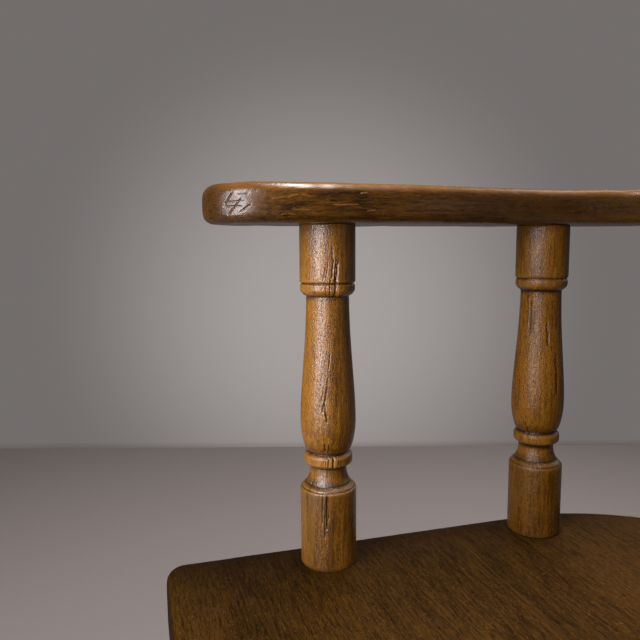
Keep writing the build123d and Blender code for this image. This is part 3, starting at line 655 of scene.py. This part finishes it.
def slotted_screws(node, body, seed, head_up=False):
    """Put screws with a cut slot, an eased head and a threaded point in place of a CAD node's screws."""
    solids = solids_of(node)
    low, high = solids[0].min(0), solids[0].max(0)
    length = high[2] - low[2]
    head = (high[0] - low[0]) / 2
    cone = head - screw_shank
    ease = head * 0.06
    profile = [(0.0, 0.0), (head - ease, 0.0), (head, ease), (screw_shank, cone + ease)]
    steps = thread_turns * 2
    for step in range(steps):
        level = cone + ease + (length - cone - ease) * (thread_start + thread_run * step / steps)
        taper = 1 - point_taper * max(0, step / steps - point_start) / (1 - point_start)
        profile.append((screw_shank * taper * (1.0 if step % 2 else thread_root), level))
    profile.append((0.0, length))
    blank = turned(profile, "screw_blank", screw_steel, 80, 20)
    slot_mesh = bpy.data.meshes.new("slot")
    work = bmesh.new()
    size = Matrix.Diagonal((head * 2.4, screw_slot_width, screw_slot_depth * 2, 1))
    bmesh.ops.create_cube(work, size=1, matrix=size)
    work.to_mesh(slot_mesh)
    work.free()
    slot = new_piece("slot", slot_mesh)
    cut = blank.modifiers.new("slot", "BOOLEAN")
    cut.object = slot
    cut.operation = "DIFFERENCE"
    cut.solver = "EXACT"
    make_plain(blank)
    bpy.data.objects.remove(slot)
    if head_up:
        blank.data.transform(Matrix.Rotation(math.pi, 4, "X"))
    places = []
    for points in solids:
        low, high = points.min(0), points.max(0)
        middle = (low + high) / 2
        places.append((middle[0], middle[1], high[2] if head_up else low[2]))
    screws = repeated(blank, places, f"{node}_slotted", screw_steel, math.pi, seed)
    stand_in(screws, node, body)


slotted_screws("tie_plate_screws", "base", 3)

# Bearing housing and bushes
# A cast flange and sleeve let into the top of the column and screwed down, with bronze bushes pressed in.

cast = metal("cast_housing", srgb(92, 88, 84), srgb(58, 54, 50), 0.55, 90, 1400)
bronze = metal("bronze", srgb(176, 132, 74), srgb(120, 84, 44), 0.36)
dress(nodes["bearing_housing"], cast)
for bush_node in ("upper_bush", "lower_bush", "thrust_washer"):
    dress(nodes[bush_node], bronze)
slotted_screws("housing_screws", "base", 5, head_up=True)

# Thrust bearing
# Two ground races with a ring of steel balls between them, kept apart by a pressed cage.

ground_steel = metal("bearing_steel", srgb(176, 174, 170), srgb(128, 124, 118), 0.26)
for race_node in ("upper_race", "lower_race", "ball_cage"):
    dress(nodes[race_node], ground_steel)
ball_solids = solids_of("bearing_balls")
ball_radius = np.ptp(ball_solids[0][:, 2]) / 2
half_turn = np.linspace(-math.pi / 2, math.pi / 2, 17)
ball_profile = [(ball_radius * max(0.0, math.cos(a)), ball_radius * math.sin(a)) for a in half_turn]
ball_shape = turned(ball_profile, "ball_shape", ground_steel, 17, 24)
ball_places = [(points.max(0) + points.min(0)) / 2 for points in ball_solids]
balls = repeated(ball_shape, ball_places, "bearing_balls_ground", ground_steel)
stand_in(balls, "bearing_balls", "ball_cage")

# Pivot shaft
# Turned steel, its spigot fast in the top plate, kept from lifting by a ring in a groove at its foot.

turned_steel = metal("turned_steel", srgb(138, 134, 128), srgb(92, 86, 78), 0.34)
for shaft_node in ("pivot_shaft", "retaining_ring"):
    dress(nodes[shaft_node], turned_steel)

# Swivel top plate and its screws
# A blackened steel plate under the seat, carried by the shaft and held up by four slotted screws.

dress(nodes["swivel_top_plate"], blackened)
slotted_screws("top_plate_screws", "seat", 7)

# Seat boards
# Three oak boards glued edge to edge, planed flush and rounded over along the rim.
# They are slightly uneven from the plane, and each glue line shows as a fine dark crack. Their rims carry
# painted shade, and their sides a painted shadow of the arms.

seat_grid = 0.0021
seat_gloss = 0.035
glue_crack = 0.00022
glue_crack_width = 0.0006
glue_crack_grime = 0.6
# Painted shade on the upright rims of the seat
seat_edge_shade = 0.9
# Painted shadow of the arms along both sides of the seat, with its width
seat_rim_shadow = 0.8
seat_rim_shadow_width = 0.035
seat_worn_at = 0.003
seat_grimy_at = 0.0006
seat_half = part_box("seat_board_front")[1].x
board_nodes = ("seat_board_front", "seat_board_middle", "seat_board_rear")
joint_levels = [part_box(name)[1].y for name in board_nodes[:2]]
plank = bmesh.new()
for board_node in board_nodes:
    plank.from_mesh(nodes[board_node].data)
for joint in joint_levels:
    inner = [f for f in plank.faces if all(abs(v.co.y - joint) < 1e-5 for v in f.verts)]
    bmesh.ops.delete(plank, geom=inner, context="FACES")
bmesh.ops.remove_doubles(plank, verts=plank.verts, dist=2e-6)
plank_mesh = bpy.data.meshes.new("seat_plank")
plank.to_mesh(plank_mesh)
plank.free()
seat_plank = evenly_meshed(plank_mesh, "seat_plank", seat_grid)
ease_by_hand(seat_plank.data, 50, rounds=2, unevenness=0.0001)

board_spans = zip(board_nodes, [None, *joint_levels], [*joint_levels, None])
for index, (board_node, front, back) in enumerate(board_spans):
    board = bmesh.new()
    board.from_mesh(seat_plank.data)
    for joint, facing in ((front, -1), (back, 1)):
        if joint is None:
            continue
        parts = board.verts[:] + board.edges[:] + board.faces[:]
        cut = bmesh.ops.bisect_plane(
            board, geom=parts, plane_co=(0, joint, 0), plane_no=(0, facing, 0), clear_outer=True
        )
        rim = [e for e in cut["geom_cut"] if isinstance(e, bmesh.types.BMEdge)]
        bmesh.ops.holes_fill(board, edges=rim)
    mesh = bpy.data.meshes.new(f"{board_node}_planed")
    board.to_mesh(mesh)
    board.free()
    points = read_points(mesh)
    near_joint = np.zeros(len(points))
    for joint in (front, back):
        if joint is not None:
            near_joint = np.maximum(near_joint, np.exp(-((points[:, 1] - joint) / glue_crack_width) ** 2))
    points[:, 2] -= glue_crack * near_joint * (read_normals(mesh)[:, 2] > 0.3)
    write_points(mesh, points)
    mesh.shade_smooth()
    piece = new_piece(f"{board_node}_planed", mesh)
    # painted shade on faces that do not face up
    edge_shade = seat_edge_shade * np.clip(1.6 - 2 * np.abs(read_normals(mesh)[:, 2]), 0, 1)
    from_side = (np.abs(points[:, 0]) - seat_half) / seat_rim_shadow_width
    # painted shadow of the arm along each side
    rim_shadow = seat_rim_shadow * np.exp(-(from_side**2))
    dirt_and_shade = np.maximum.reduce([near_joint * glue_crack_grime, edge_shade, rim_shadow])
    note_wear(mesh, seat_worn_at, seat_grimy_at, dirt_and_shade)
    pith = (0.7 * index, 0.05 - 0.13 * index, 0.33)
    dress(piece, oak(f"oak_{board_node}", (1, 0.02, 0), pith, seat_finish, seat_gloss))
    stand_in(piece, board_node, "seat")
bpy.data.objects.remove(seat_plank)

# Seat battens and their screws
# Two oak battens across the joints under the seat, chamfered below, with a slotted screw to each board.

batten_grid = 0.0017
batten_gloss = 0.2
for index, batten_node in enumerate(("seat_batten_left", "seat_batten_right")):
    batten = worked(batten_node, "planed", batten_grid, 70 + index, rounds=2)
    pith = (0.05, 0.4 * index, 0.36)
    dress(batten, oak(f"oak_{batten_node}", (0, 1, 0.01), pith, seat_finish, batten_gloss))
    stand_in(batten, batten_node, "seat")
slotted_screws("batten_screws", "seat", 9)

# Posts
# Eight oak posts turned alike, each with a tenon glued into the seat and another into the arm.
# Old drying checks run along them, and wax has blackened in the grooves and under the beads. Painted shade
# darkens their feet, the side away from the light, and their tops under the arms.

post_step = 0.0011
post_wobble = 0.012
near_post_ring = 0.00045
near_post_segments = 118
near_post_crowding = 0.75
near_post_facing = math.radians(-15)
near_post_gloss = 0.8
post_gloss = 0.25
# Heights over the seat between which a post shows, and up to which its foot is darkened by painted shade
post_shows = (0.0005, 0.2195)
post_foot_top = 0.051
foot_shade = 0.4
# Painted shade on the side of each post away from the light
shaded_side = 0.5
check_wander = 0.0001
check_black_at = 0.0014
line_black_at = 0.0006
post_worn_at = 0.0006
post_grimy_at = 0.00022
# Fine tool lines round a post, as height over the seat, half width and depth, which is minus for a bead
tool_lines = [
    (0.0516, 0.0005, 0.0005),
    (0.0543, 0.0007, 0.0006),
    (0.0658, 0.0006, 0.0003),
    (0.0680, 0.0013, -0.0005),
    (0.0728, 0.0010, -0.0003),
    (0.0754, 0.0008, 0.0007),
    (0.1837, 0.0006, 0.0004),
    (0.1755, 0.0006, 0.0003),
]
# Heights where old wax has blackened, each with its half width and strength; the top band, under the arm,
# is painted shadow
waxy_and_shaded_bands = [
    (0.0, 0.003, 0.85),
    (0.0555, 0.003, 0.6),
    (0.0655, 0.002, 0.5),
    (0.0780, 0.0035, 0.55),
    (0.1745, 0.0015, 0.6),
    # painted shadow of the arm over the top of the post
    (0.2195, 0.005, 0.4),
]


def turned_profile(node, axis):
    """Read radius and height along a turned CAD piece, from its foot up to its top."""
    points = np.unique(np.round(read_points(welded(node)), 6), axis=0)
    radii = np.hypot(points[:, 0] - axis[0], points[:, 1] - axis[1])
    rows = np.unique(np.round(np.stack([points[:, 2], radii], -1), 5), axis=0)
    middle = (rows[0, 0] + rows[-1, 0]) / 2
    order = np.lexsort((np.where(rows[:, 0] < middle, rows[:, 1], -rows[:, 1]), rows[:, 0]))
    outline = [(radius, height) for height, radius in rows[order]]
    return [(0.0, outline[0][1]), *outline, (0.0, outline[-1][1])]


def turn_from(angles, turn):
    """Return how far round each angle lies from a turn, the short way."""
    return np.angle(np.exp(1j * (angles - turn)))


def split(angles, heights, radius, check, seed):
    """Return how deep one drying check runs at each point of a post.

    A check is its turn in degrees at the bottom and at the top, both heights over the seat,
    its half width at each of them, and its depth.
    """
    turn_low, turn_high, bottom, top, wide_low, wide_high, depth = check
    along = np.clip((heights - bottom) / (top - bottom), 0, 1)
    inside = (heights > bottom) & (heights < top)
    wander = check_wander * np.sin(heights * 620 + seed)
    wander += check_wander * np.sin(heights * 240 + 2.1 * seed)
    away = turn_from(angles, np.radians(turn_low + (turn_high - turn_low) * along)) * radius + wander
    wide = wide_low + (wide_high - wide_low) * along
    taper = np.minimum(1, 5 * np.minimum(along + 0.06, 1 - along + 0.02))
    return depth * taper * np.exp(-((away / wide) ** 2)) * inside


# Checks of the right front post: in its head, its belly, its foot, its ring and under its belly
near_checks = [
    (-2.3, 5, 0.1752, 0.1985, 0.00048, 0.00025, 0.002),
    (-3, 1, 0.1845, 0.2, 0.0003, 0.00025, 0.0013),
    (-8, -4, 0.187, 0.1995, 0.0003, 0.00025, 0.0011),
    (-6, -7, 0.198, 0.207, 0.00028, 0.00025, 0.0008),
    (-20, -15, 0.187, 0.1975, 0.00025, 0.00025, 0.0006),
    (-25, -20, 0.186, 0.1945, 0.00025, 0.00025, 0.0005),
    (-13, -11, 0.1755, 0.188, 0.00028, 0.00025, 0.0007),
    (-20, -20, 0.1755, 0.1825, 0.00028, 0.00025, 0.0006),
    (-29, -18, 0.1035, 0.1215, 0.00035, 0.0003, 0.0012),
    (-20, -25, 0.0975, 0.11, 0.0004, 0.0003, 0.0013),
    (-24, -16, 0.11, 0.126, 0.00028, 0.00025, 0.0006),
    (-31, -25, 0.11, 0.121, 0.00025, 0.00025, 0.0005),
    (-15, -11, 0.13, 0.141, 0.00025, 0.00025, 0.0005),
    (-21, -20, 0.028, 0.0512, 0.0003, 0.0006, 0.0018),
    (-24, -24, 0.022, 0.046, 0.00028, 0.0003, 0.001),
    (-17, -18, 0.034, 0.0505, 0.00025, 0.0003, 0.0008),
    (-29, -29, 0.032, 0.0505, 0.00025, 0.00028, 0.0007),
    (-5, -5, 0.0655, 0.0748, 0.00045, 0.00045, 0.0015),
    (-17, -17, 0.066, 0.0738, 0.0003, 0.0003, 0.001),
    (-23, -23, 0.0662, 0.0728, 0.00025, 0.00025, 0.0006),
    (-28, -28, 0.0662, 0.0728, 0.00025, 0.00025, 0.0006),
    (-33, -34, 0.0662, 0.0728, 0.00025, 0.00025, 0.0006),
    (-39, -39, 0.0662, 0.0725, 0.00025, 0.00025, 0.0005),
    (7, 7, 0.0662, 0.0735, 0.0003, 0.00025, 0.0007),
    (14, 14, 0.0662, 0.073, 0.00028, 0.00025, 0.0005),
    (-25, -24, 0.078, 0.0845, 0.0006, 0.0004, 0.0008),
    (-14, -16, 0.078, 0.0835, 0.0003, 0.00025, 0.0005),
]
# A splinter has come away beside the check in the head of the right front post, and its bared face is
# painted pale as a painted sheen
facet_turn = -1.0
facet_lean = 5.0
facet_width = 0.0024
facet_depth = 0.0011
facet_span = (0.1752, 0.194)
# Its ring is rubbed pale between two heights, for some degrees to each side of a turn
rubbed_ring_span = (0.066, 0.0725)
rubbed_ring_turn = -20
rubbed_ring_reach = 26
rubbed_ring_strength = 0.8
# No two posts came from one plank, so each has its own tone, as a share of the palest; the low tone of the
# rear right post is partly painted shade
post_tones_and_shade = (1.0, 0.92, 0.52, 0.85, 0.78, 0.95, 0.9, 0.72)
post_names = ("arm_post_front", "arm_post_rear", "back_post_outer", "back_post_inner")
seat_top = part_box("seat_board_front")[1].z
for index, post_node in enumerate(f"{name}_{side}" for name in post_names for side in ("right", "left")):
    low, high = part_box(post_node)
    axis = (low + high) / 2
    near = post_node == "arm_post_front_right"
    profile = turned_profile(post_node, axis)
    run = sum(math.dist(a, b) for a, b in zip(profile, profile[1:]))
    girth = 2 * math.pi * (high.x - low.x) / 2
    pith = (axis.x + 0.012, axis.y + 0.07, 0.31 * index)
    finish = dict(turned_finish)
    for part in ("Pale wood", "Deep wood", "Rubbed wood and sheen"):
        finish[part] = [value * post_tones_and_shade[index] for value in turned_finish[part][:3]] + [1.0]
    gloss = near_post_gloss if near else post_gloss
    post = turned(
        profile,
        f"{post_node}_turned",
        oak(f"oak_{post_node}", (0.02, 0.014, 1), pith, finish, gloss),
        int(run / (near_post_ring if near else post_step)),
        near_post_segments if near else int(girth / post_step),
        centre=(axis.x, axis.y, 0),
        wobble=post_wobble,
        crowding=near_post_crowding if near else 0.0,
        facing=near_post_facing,
        seed=index * 3.7,
    )
    mesh = post.data
    write_points(mesh, relaxed(read_points(mesh), read_edges(mesh), 2))
    points = read_points(mesh)
    angles = np.arctan2(points[:, 1] - axis.y, points[:, 0] - axis.x)
    heights = points[:, 2] - seat_top
    radius = np.hypot(points[:, 0] - axis.x, points[:, 1] - axis.y)
    draw = np.random.default_rng(400 + index)
    checks = list(near_checks) if near else []
    for _ in range(4 if near else 9):
        start = draw.uniform(0.0, 0.17)
        stop = start + draw.uniform(0.012, 0.034)
        turn = draw.uniform(60, 300) if near else draw.uniform(0, 360)
        lean = draw.uniform(-4, 4)
        widths = draw.uniform(0.0004, 0.0007, 2)
        checks.append((turn, turn + lean, start, stop, *widths, draw.uniform(0.0005, 0.0014)))
    depth = np.zeros(len(points))
    for number, check in enumerate(checks):
        depth = np.maximum(depth, split(angles, heights, radius, check, number * 1.3 + index))
    depth *= (heights > post_shows[0]) & (heights < post_shows[1])
    lines = np.zeros(len(points))
    for level, width, cut in tool_lines:
        lines += cut * np.exp(-(((heights - level) / width) ** 2))
    dirt_and_shade = np.maximum.reduce(
        [
            np.clip(depth / check_black_at, 0, 1),
            np.clip(lines / line_black_at, 0, 0.9),
            # painted shade over the foot, near the seat
            foot_shade * (heights < post_foot_top),
            # painted shade on the side away from the light
            shaded_side * np.clip(np.sin(angles + 0.3), 0, 1),
        ]
    )
    for level, width, strength in waxy_and_shaded_bands:
        dirt_and_shade = np.maximum(dirt_and_shade, strength * np.exp(-(((heights - level) / width) ** 2)))
    rubbed_and_sheen = np.zeros(len(points))
    if near:
        rise = (heights - facet_span[0]) / (facet_span[1] - facet_span[0])
        narrowing = np.clip(1.1 - rise, 0.1, 1)
        edge = np.radians(facet_turn + facet_lean * rise)
        beside = turn_from(angles, edge) * radius / (facet_width * narrowing)
        inside = (beside > 0) & (beside < 1) & (rise > 0) & (rise < 1)
        depth = np.maximum(depth, facet_depth * (1 - beside) * narrowing * inside)
        on_ring = (heights > rubbed_ring_span[0]) & (heights < rubbed_ring_span[1])
        on_ring &= np.abs(np.degrees(angles) - rubbed_ring_turn) < rubbed_ring_reach
        # The facet is painted pale as a painted sheen; the rubbed ring is real wear
        rubbed_and_sheen = np.maximum(inside * 1.0, on_ring * rubbed_ring_strength)
    inward = np.stack([np.cos(angles), np.sin(angles), np.zeros(len(points))], -1)
    write_points(mesh, points - inward * (depth + lines)[:, None])
    note_wear(mesh, post_worn_at, post_grimy_at, dirt_and_shade, rubbed_and_sheen, rounds=48 if near else 12)
    mesh.shade_smooth()
    stand_in(post, post_node, "seat")

# Arms
# The two halves of the bow, sawn from thick oak plank, rounded over and polished by hands and sleeves.
# The right one has knife cuts on the side of its front end, and both have split along the grain and carry
# painted glints on lifted fibres.

arm_grid = 0.0015
arm_gloss = 0.55
# Runs behind the front post between which the inner side is meshed finer
arm_fine_span = (-0.074, 0.11)
fine_cuts = 3
knife_width = 0.0003
knife_depth = 0.0005
fibre_lift = 0.0005
# A flat is worn on the front end, about a run behind the post and a height over the arm's lower face
worn_flat = (-0.0635, 0.0105)
worn_flat_radius = 0.0105
worn_flat_edge = 0.005
worn_flat_depth = 0.0002
worn_flat_blend = 0.00025
arm_worn_at = 0.0004
arm_grimy_at = 0.0005
# Runs behind the post from which the arm darkens backwards and end stain sets in forwards, each full after
# a length
arm_darkening = 0.75
arm_darkening_start = -0.02
arm_darkening_length = 0.12
end_stain = 0.5
end_stain_start = -0.06
end_stain_length = 0.012
hand_rub = 0.95
post_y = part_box("arm_post_front_right")[0].lerp(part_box("arm_post_front_right")[1], 0.5).y
arm_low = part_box("arm_right")[0].z
arm_middle = (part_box("arm_right")[0].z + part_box("arm_right")[1].z) / 2


def scored(points, lines, wander=0.0):
    """Return how deep lines are cut in the side of an arm, at each point, as shares of a full cut.

    A line is the run behind the post and the height over the arm's lower face where it starts,
    the same where it ends, its half width and its strength.
    """
    depth = np.zeros(len(points))
    runs = points[:, 1] - post_y
    levels = points[:, 2] - arm_low
    for number, (run_a, level_a, run_b, level_b, wide, strength) in enumerate(lines):
        line = np.array([run_b - run_a, level_b - level_a])
        length = np.linalg.norm(line)
        line /= length
        along = (runs - run_a) * line[0] + (levels - level_a) * line[1]
        away = (levels - level_a) * line[0] - (runs - run_a) * line[1]
        away += wander * (np.sin(along * 900 + number) + np.sin(along * 370 + 2 * number))
        share = np.clip(along / length, 0, 1)
        ends = np.minimum(1, 6 * np.minimum(share + 0.02, 1.02 - share)) * (along > 0) * (along < length)
        depth = np.maximum(depth, strength * ends * np.exp(-((away / wide) ** 2)))
    return depth


# Knife cuts on the right arm
knife_cuts = [
    (-0.0622, 0.0176, -0.0664, 0.0103, knife_width, 1.0),
    (-0.0576, 0.0141, -0.0650, 0.0042, knife_width, 1.0),
    (-0.0526, 0.0103, -0.0588, 0.0058, knife_width, 1.0),
    (-0.0597, 0.0160, -0.0538, 0.0160, knife_width, 1.0),
    (-0.0672, 0.0092, -0.0573, 0.0092, knife_width, 1.0),
    (-0.0662, 0.0117, -0.0555, 0.0121, knife_width, 0.8),
]
# Splits along the grain of both arms
grain_splits = [
    (-0.0426, 0.0112, -0.0109, 0.0116, 0.0003, 0.5),
    (-0.0413, 0.0094, -0.0262, 0.0092, 0.0003, 0.5),
    (-0.0203, 0.0055, 0.0034, 0.0085, 0.0003, 0.6),
    (-0.0085, 0.0122, -0.0030, 0.0122, 0.0005, 0.9),
    (0.0080, 0.0142, 0.0160, 0.0144, 0.0005, 0.9),
    (0.0090, 0.0155, 0.0150, 0.0153, 0.0004, 0.9),
    (0.0105, 0.0090, 0.0200, 0.0086, 0.0004, 0.8),
    (0.0230, 0.0128, 0.0560, 0.0116, 0.0003, 0.5),
    (0.0420, 0.0066, 0.0840, 0.0076, 0.0003, 0.5),
    (0.0700, 0.0142, 0.1060, 0.0132, 0.0003, 0.5),
]
# Fibres that have lifted off both arms, standing proud and painted pale as painted glints
lifted_fibres = [
    (-0.0420, 0.0130, -0.0331, 0.0142, 0.0003, 0.6),
    (-0.0331, 0.0142, -0.0259, 0.0155, 0.0003, 0.7),
    (-0.0259, 0.0155, -0.0189, 0.0145, 0.0003, 0.6),
    (-0.0075, 0.0100, 0.0095, 0.0102, 0.0003, 1.0),
    (-0.0367, 0.0042, -0.0331, 0.0050, 0.0003, 0.6),
    (-0.0331, 0.0050, -0.0283, 0.0042, 0.0003, 0.6),
    (-0.0304, 0.0072, -0.0196, 0.0072, 0.0003, 0.6),
    (0.0139, 0.0070, 0.0197, 0.0070, 0.0003, 0.9),
    (0.0098, 0.0166, 0.0150, 0.0168, 0.0003, 0.9),
]
for index, (arm_node, inner_side) in enumerate((("arm_right", 1), ("arm_left", -1))):
    arm = evenly_meshed(welded(arm_node), f"{arm_node}_shaped", arm_grid)
    mesh = arm.data
    ease_by_hand(mesh, 90 + index, rounds=3, unevenness=0.00022)
    work = bmesh.new()
    work.from_mesh(mesh)
    near_faces = [
        face
        for face in work.faces
        if face.normal.x * inner_side > 0.35
        and arm_fine_span[0] < face.calc_center_median().y - post_y < arm_fine_span[1]
    ]
    fine = list({edge for face in near_faces for edge in face.edges})
    bmesh.ops.subdivide_edges(work, edges=fine, cuts=fine_cuts, use_grid_fill=True)
    bmesh.ops.triangulate(work, faces=[face for face in work.faces if len(face.verts) > 4])
    work.to_mesh(mesh)
    work.free()
    points = read_points(mesh)
    normals = read_normals(mesh)
    inner_face = np.clip(normals[:, 0] * inner_side * 2 - 0.4, 0, 1)
    handled = np.clip((normals[:, 2] - 0.3) / 0.5, 0, 1)
    offsets = np.hypot(points[:, 1] - post_y - worn_flat[0], points[:, 2] - arm_low - worn_flat[1])
    middle = np.argmin(offsets + (normals[:, 0] * inner_side < 0))
    over = (points - points[middle]) @ normals[middle] + worn_flat_depth
    rubbed_off = worn_flat_blend * np.logaddexp(0, over / worn_flat_blend)
    rubbed_off *= np.clip((worn_flat_radius - offsets) / worn_flat_edge, 0, 1)
    points -= normals[middle] * rubbed_off[:, None]
    marks = scored(points, grain_splits, wander=0.0002)
    lifted = scored(points, lifted_fibres, wander=0.0001) * inner_face
    if inner_side > 0:
        marks = np.maximum(marks, scored(points, knife_cuts))
    marks *= inner_face
    write_points(mesh, points + normals * (fibre_lift * lifted - knife_depth * marks)[:, None])
    runs = points[:, 1] - post_y
    darker_further_back = arm_darkening * (1 - handled) * np.clip((runs - arm_darkening_start) / arm_darkening_length, 0, 1)
    end_grain = end_stain * np.clip((end_stain_start - runs) / end_stain_length, 0, 1)
    dirt_and_shade = np.maximum.reduce([np.clip(marks * 1.3 - 0.12, 0, 1), darker_further_back, end_grain])
    # The lifted fibres are painted pale as painted glints; the tops are rubbed pale by hands
    note_wear(mesh, arm_worn_at, arm_grimy_at, dirt_and_shade, np.maximum(lifted * 1.6, hand_rub * handled))
    mesh.shade_smooth()
    side = -inner_side
    pith = (0.228 * side + 0.02, 0.6 * index, arm_middle - 0.062)
    dress(arm, oak(f"oak_{arm_node}", (0.03 * side, 1, 0.012), pith, arm_finish, arm_gloss))
    stand_in(arm, arm_node, "seat")

# Splice dowels
# Two beech dowels across the glued splice where the halves of the bow meet behind the sitter.

dress(nodes["arm_splice_dowels"], beech)

# Crest rail and its screws
# A shaped oak rail on the back of the bow, leaning to the sitter's back and screwed up through the arms.

crest_grid = 0.0016
crest_gloss = 0.5
crest = worked("crest_rail", "shaped", crest_grid, 120, unevenness=0.00018)
dress(crest, oak("oak_crest", (1, 0.015, 0.01), (0.3, 0.12, 0.7), plank_finish, crest_gloss))
stand_in(crest, "crest_rail", "seat")
slotted_screws("crest_screws", "seat", 11)

# Floor and backdrop
# A plain pale grey studio floor between four grey walls, out of the way of the chair.
# The walls show their own soft glow, palest behind the right arm, and cast almost no light on the chair.

wall_distance = 1.8
wall_height = 2.6
wall_turn = math.radians(45 - 16.1)
# Tones of the wall at shares of its height
wall_tones = [
    (0.0, srgb(146, 137, 133)),
    (0.008, srgb(164, 158, 156)),
]
# The wall glows about one point and falls off between two distances from it, to a share of its tone
wall_glow_middle = (-1.78, 0.32, 0.45)
wall_glow_reach = (0.1, 0.95)
wall_glow_fall = 0.45
wall_mirrored = 0.35


def plain_paint(name, colour):
    """Return a matt paint."""
    paint, tree, shader = new_material(name)
    feed(tree, shader, {"Base Color": colour, "Roughness": 0.9})
    return paint


def wall_paint():
    """Return a matt paint that is seen as a soft glowing grey, whatever light falls on it."""
    paint = plain_paint("wall_paint", srgb(70, 67, 65))
    tree = paint.node_tree
    place = add_node(tree, "ShaderNodeTexCoord").outputs["Object"]
    height = add_node(tree, "ShaderNodeSeparateXYZ", {0: place}).outputs[2]
    ramp = add_node(tree, "ShaderNodeValToRGB", {0: calc(tree, "DIVIDE", height, wall_height)})
    ramp.color_ramp.interpolation = "EASE"
    for step, (share, tone) in zip(ramp.color_ramp.elements, wall_tones):
        step.position = share
        step.color = tone
    away = vector_calc(tree, "DISTANCE", place, wall_glow_middle)
    glow = fade(tree, away, *wall_glow_reach, 1.0, wall_glow_fall)
    shown = add_node(tree, "ShaderNodeEmission", {"Color": ramp.outputs[0], "Strength": glow}).outputs[0]
    rays = add_node(tree, "ShaderNodeLightPath").outputs
    mirrored = calc(tree, "MULTIPLY", rays["Is Glossy Ray"], wall_mirrored)
    seen = calc(tree, "MAXIMUM", rays["Is Camera Ray"], mirrored)
    seen = calc(tree, "MAXIMUM", seen, rays["Is Transmission Ray"])
    matt = tree.nodes["Principled BSDF"].outputs[0]
    mixed = add_node(tree, "ShaderNodeMixShader", {0: seen, 1: matt, 2: shown}).outputs[0]
    feed(tree, tree.nodes["Material Output"], {"Surface": mixed})
    return paint


wall_corner = wall_distance * math.sqrt(2)
floor_paint = plain_paint("floor_paint", srgb(126, 119, 117))
floor = turned([(0.0, 0.0), (wall_corner, 0.0)], "floor", floor_paint, 2, 4)
wall = turned([(wall_corner, 0.0), (wall_corner, wall_height)], "wall", wall_paint(), 2, 4)
for piece in (floor, wall):
    piece.data.transform(Matrix.Rotation(wall_turn, 4, "Z"))
    piece.data.shade_flat()

# Light and camera
# A tall soft window of light stands before the chair, with a strip overhead and weak fills round about.
# The camera looks across the seat at the right arm, from over the front edge.


def area_light(name, place, target, width, height, power, colour, mirrored=True):
    """Hang a soft rectangular light and aim it. One that is not mirrored leaves no glint."""
    lamp = bpy.data.lights.new(name, "AREA")
    lamp.shape = "RECTANGLE"
    lamp.size = width
    lamp.size_y = height
    lamp.energy = power
    lamp.color = colour
    holder = new_piece(name, lamp)
    holder.location = place
    holder.visible_camera = False
    holder.visible_glossy = mirrored
    holder.rotation_euler = (Vector(target) - Vector(place)).to_track_quat("-Z", "Y").to_euler()


area_light("window", (0.71, -1.41, 1.15), (-0.15, -0.1, 0.75), 0.6, 1.9, 47, (1.0, 0.965, 0.985))
area_light("pale_wall", (0.95, -1.35, 1.1), (-0.15, -0.1, 0.7), 1.1, 1.6, 6, (1.0, 0.95, 0.95))
area_light("overhead", (-0.2, 0.13, 2.4), (-0.2, 0.13, 0), 1.0, 0.3, 36, (1.0, 0.93, 0.89))
area_light("far_side", (-1.3, 0.5, 1.5), (0, 0, 0.45), 0.9, 1.3, 10, (1.0, 0.96, 0.93), mirrored=False)
area_light("behind", (-0.6, 1.45, 1.5), (0, 0, 0.5), 1.2, 1.4, 8, (1.0, 0.98, 0.95))
world = bpy.data.worlds.new("room_light")
world.use_nodes = True
room_light = {"Color": (0.95, 0.95, 1.0, 1), "Strength": 0.04}
feed(world.node_tree, world.node_tree.nodes["Background"], room_light)
bpy.context.scene.world = world
bpy.context.scene.view_settings.view_transform = "Standard"

camera_place = Vector((0.1503, -0.2331, 0.6556))
camera_yaw = math.radians(16.11)
camera_pitch = math.radians(6.585)
camera_roll = math.radians(0.356)
camera_lens = 35.1
forward = Vector(
    (
        -math.cos(camera_yaw) * math.cos(camera_pitch),
        math.sin(camera_yaw) * math.cos(camera_pitch),
        -math.sin(camera_pitch),
    )
)
level = Vector((math.sin(camera_yaw), math.cos(camera_yaw), 0))
down = forward.cross(level)
right = level * math.cos(camera_roll) + down * math.sin(camera_roll)
above = level * math.sin(camera_roll) - down * math.cos(camera_roll)
camera = new_piece("camera", bpy.data.cameras.new("camera"))
camera.data.sensor_width = 36
camera.data.lens = camera_lens
camera.data.clip_start = 0.01
camera.matrix_world = Matrix((right, above, -forward)).transposed().to_4x4()
camera.location = camera_place
bpy.context.scene.camera = camera
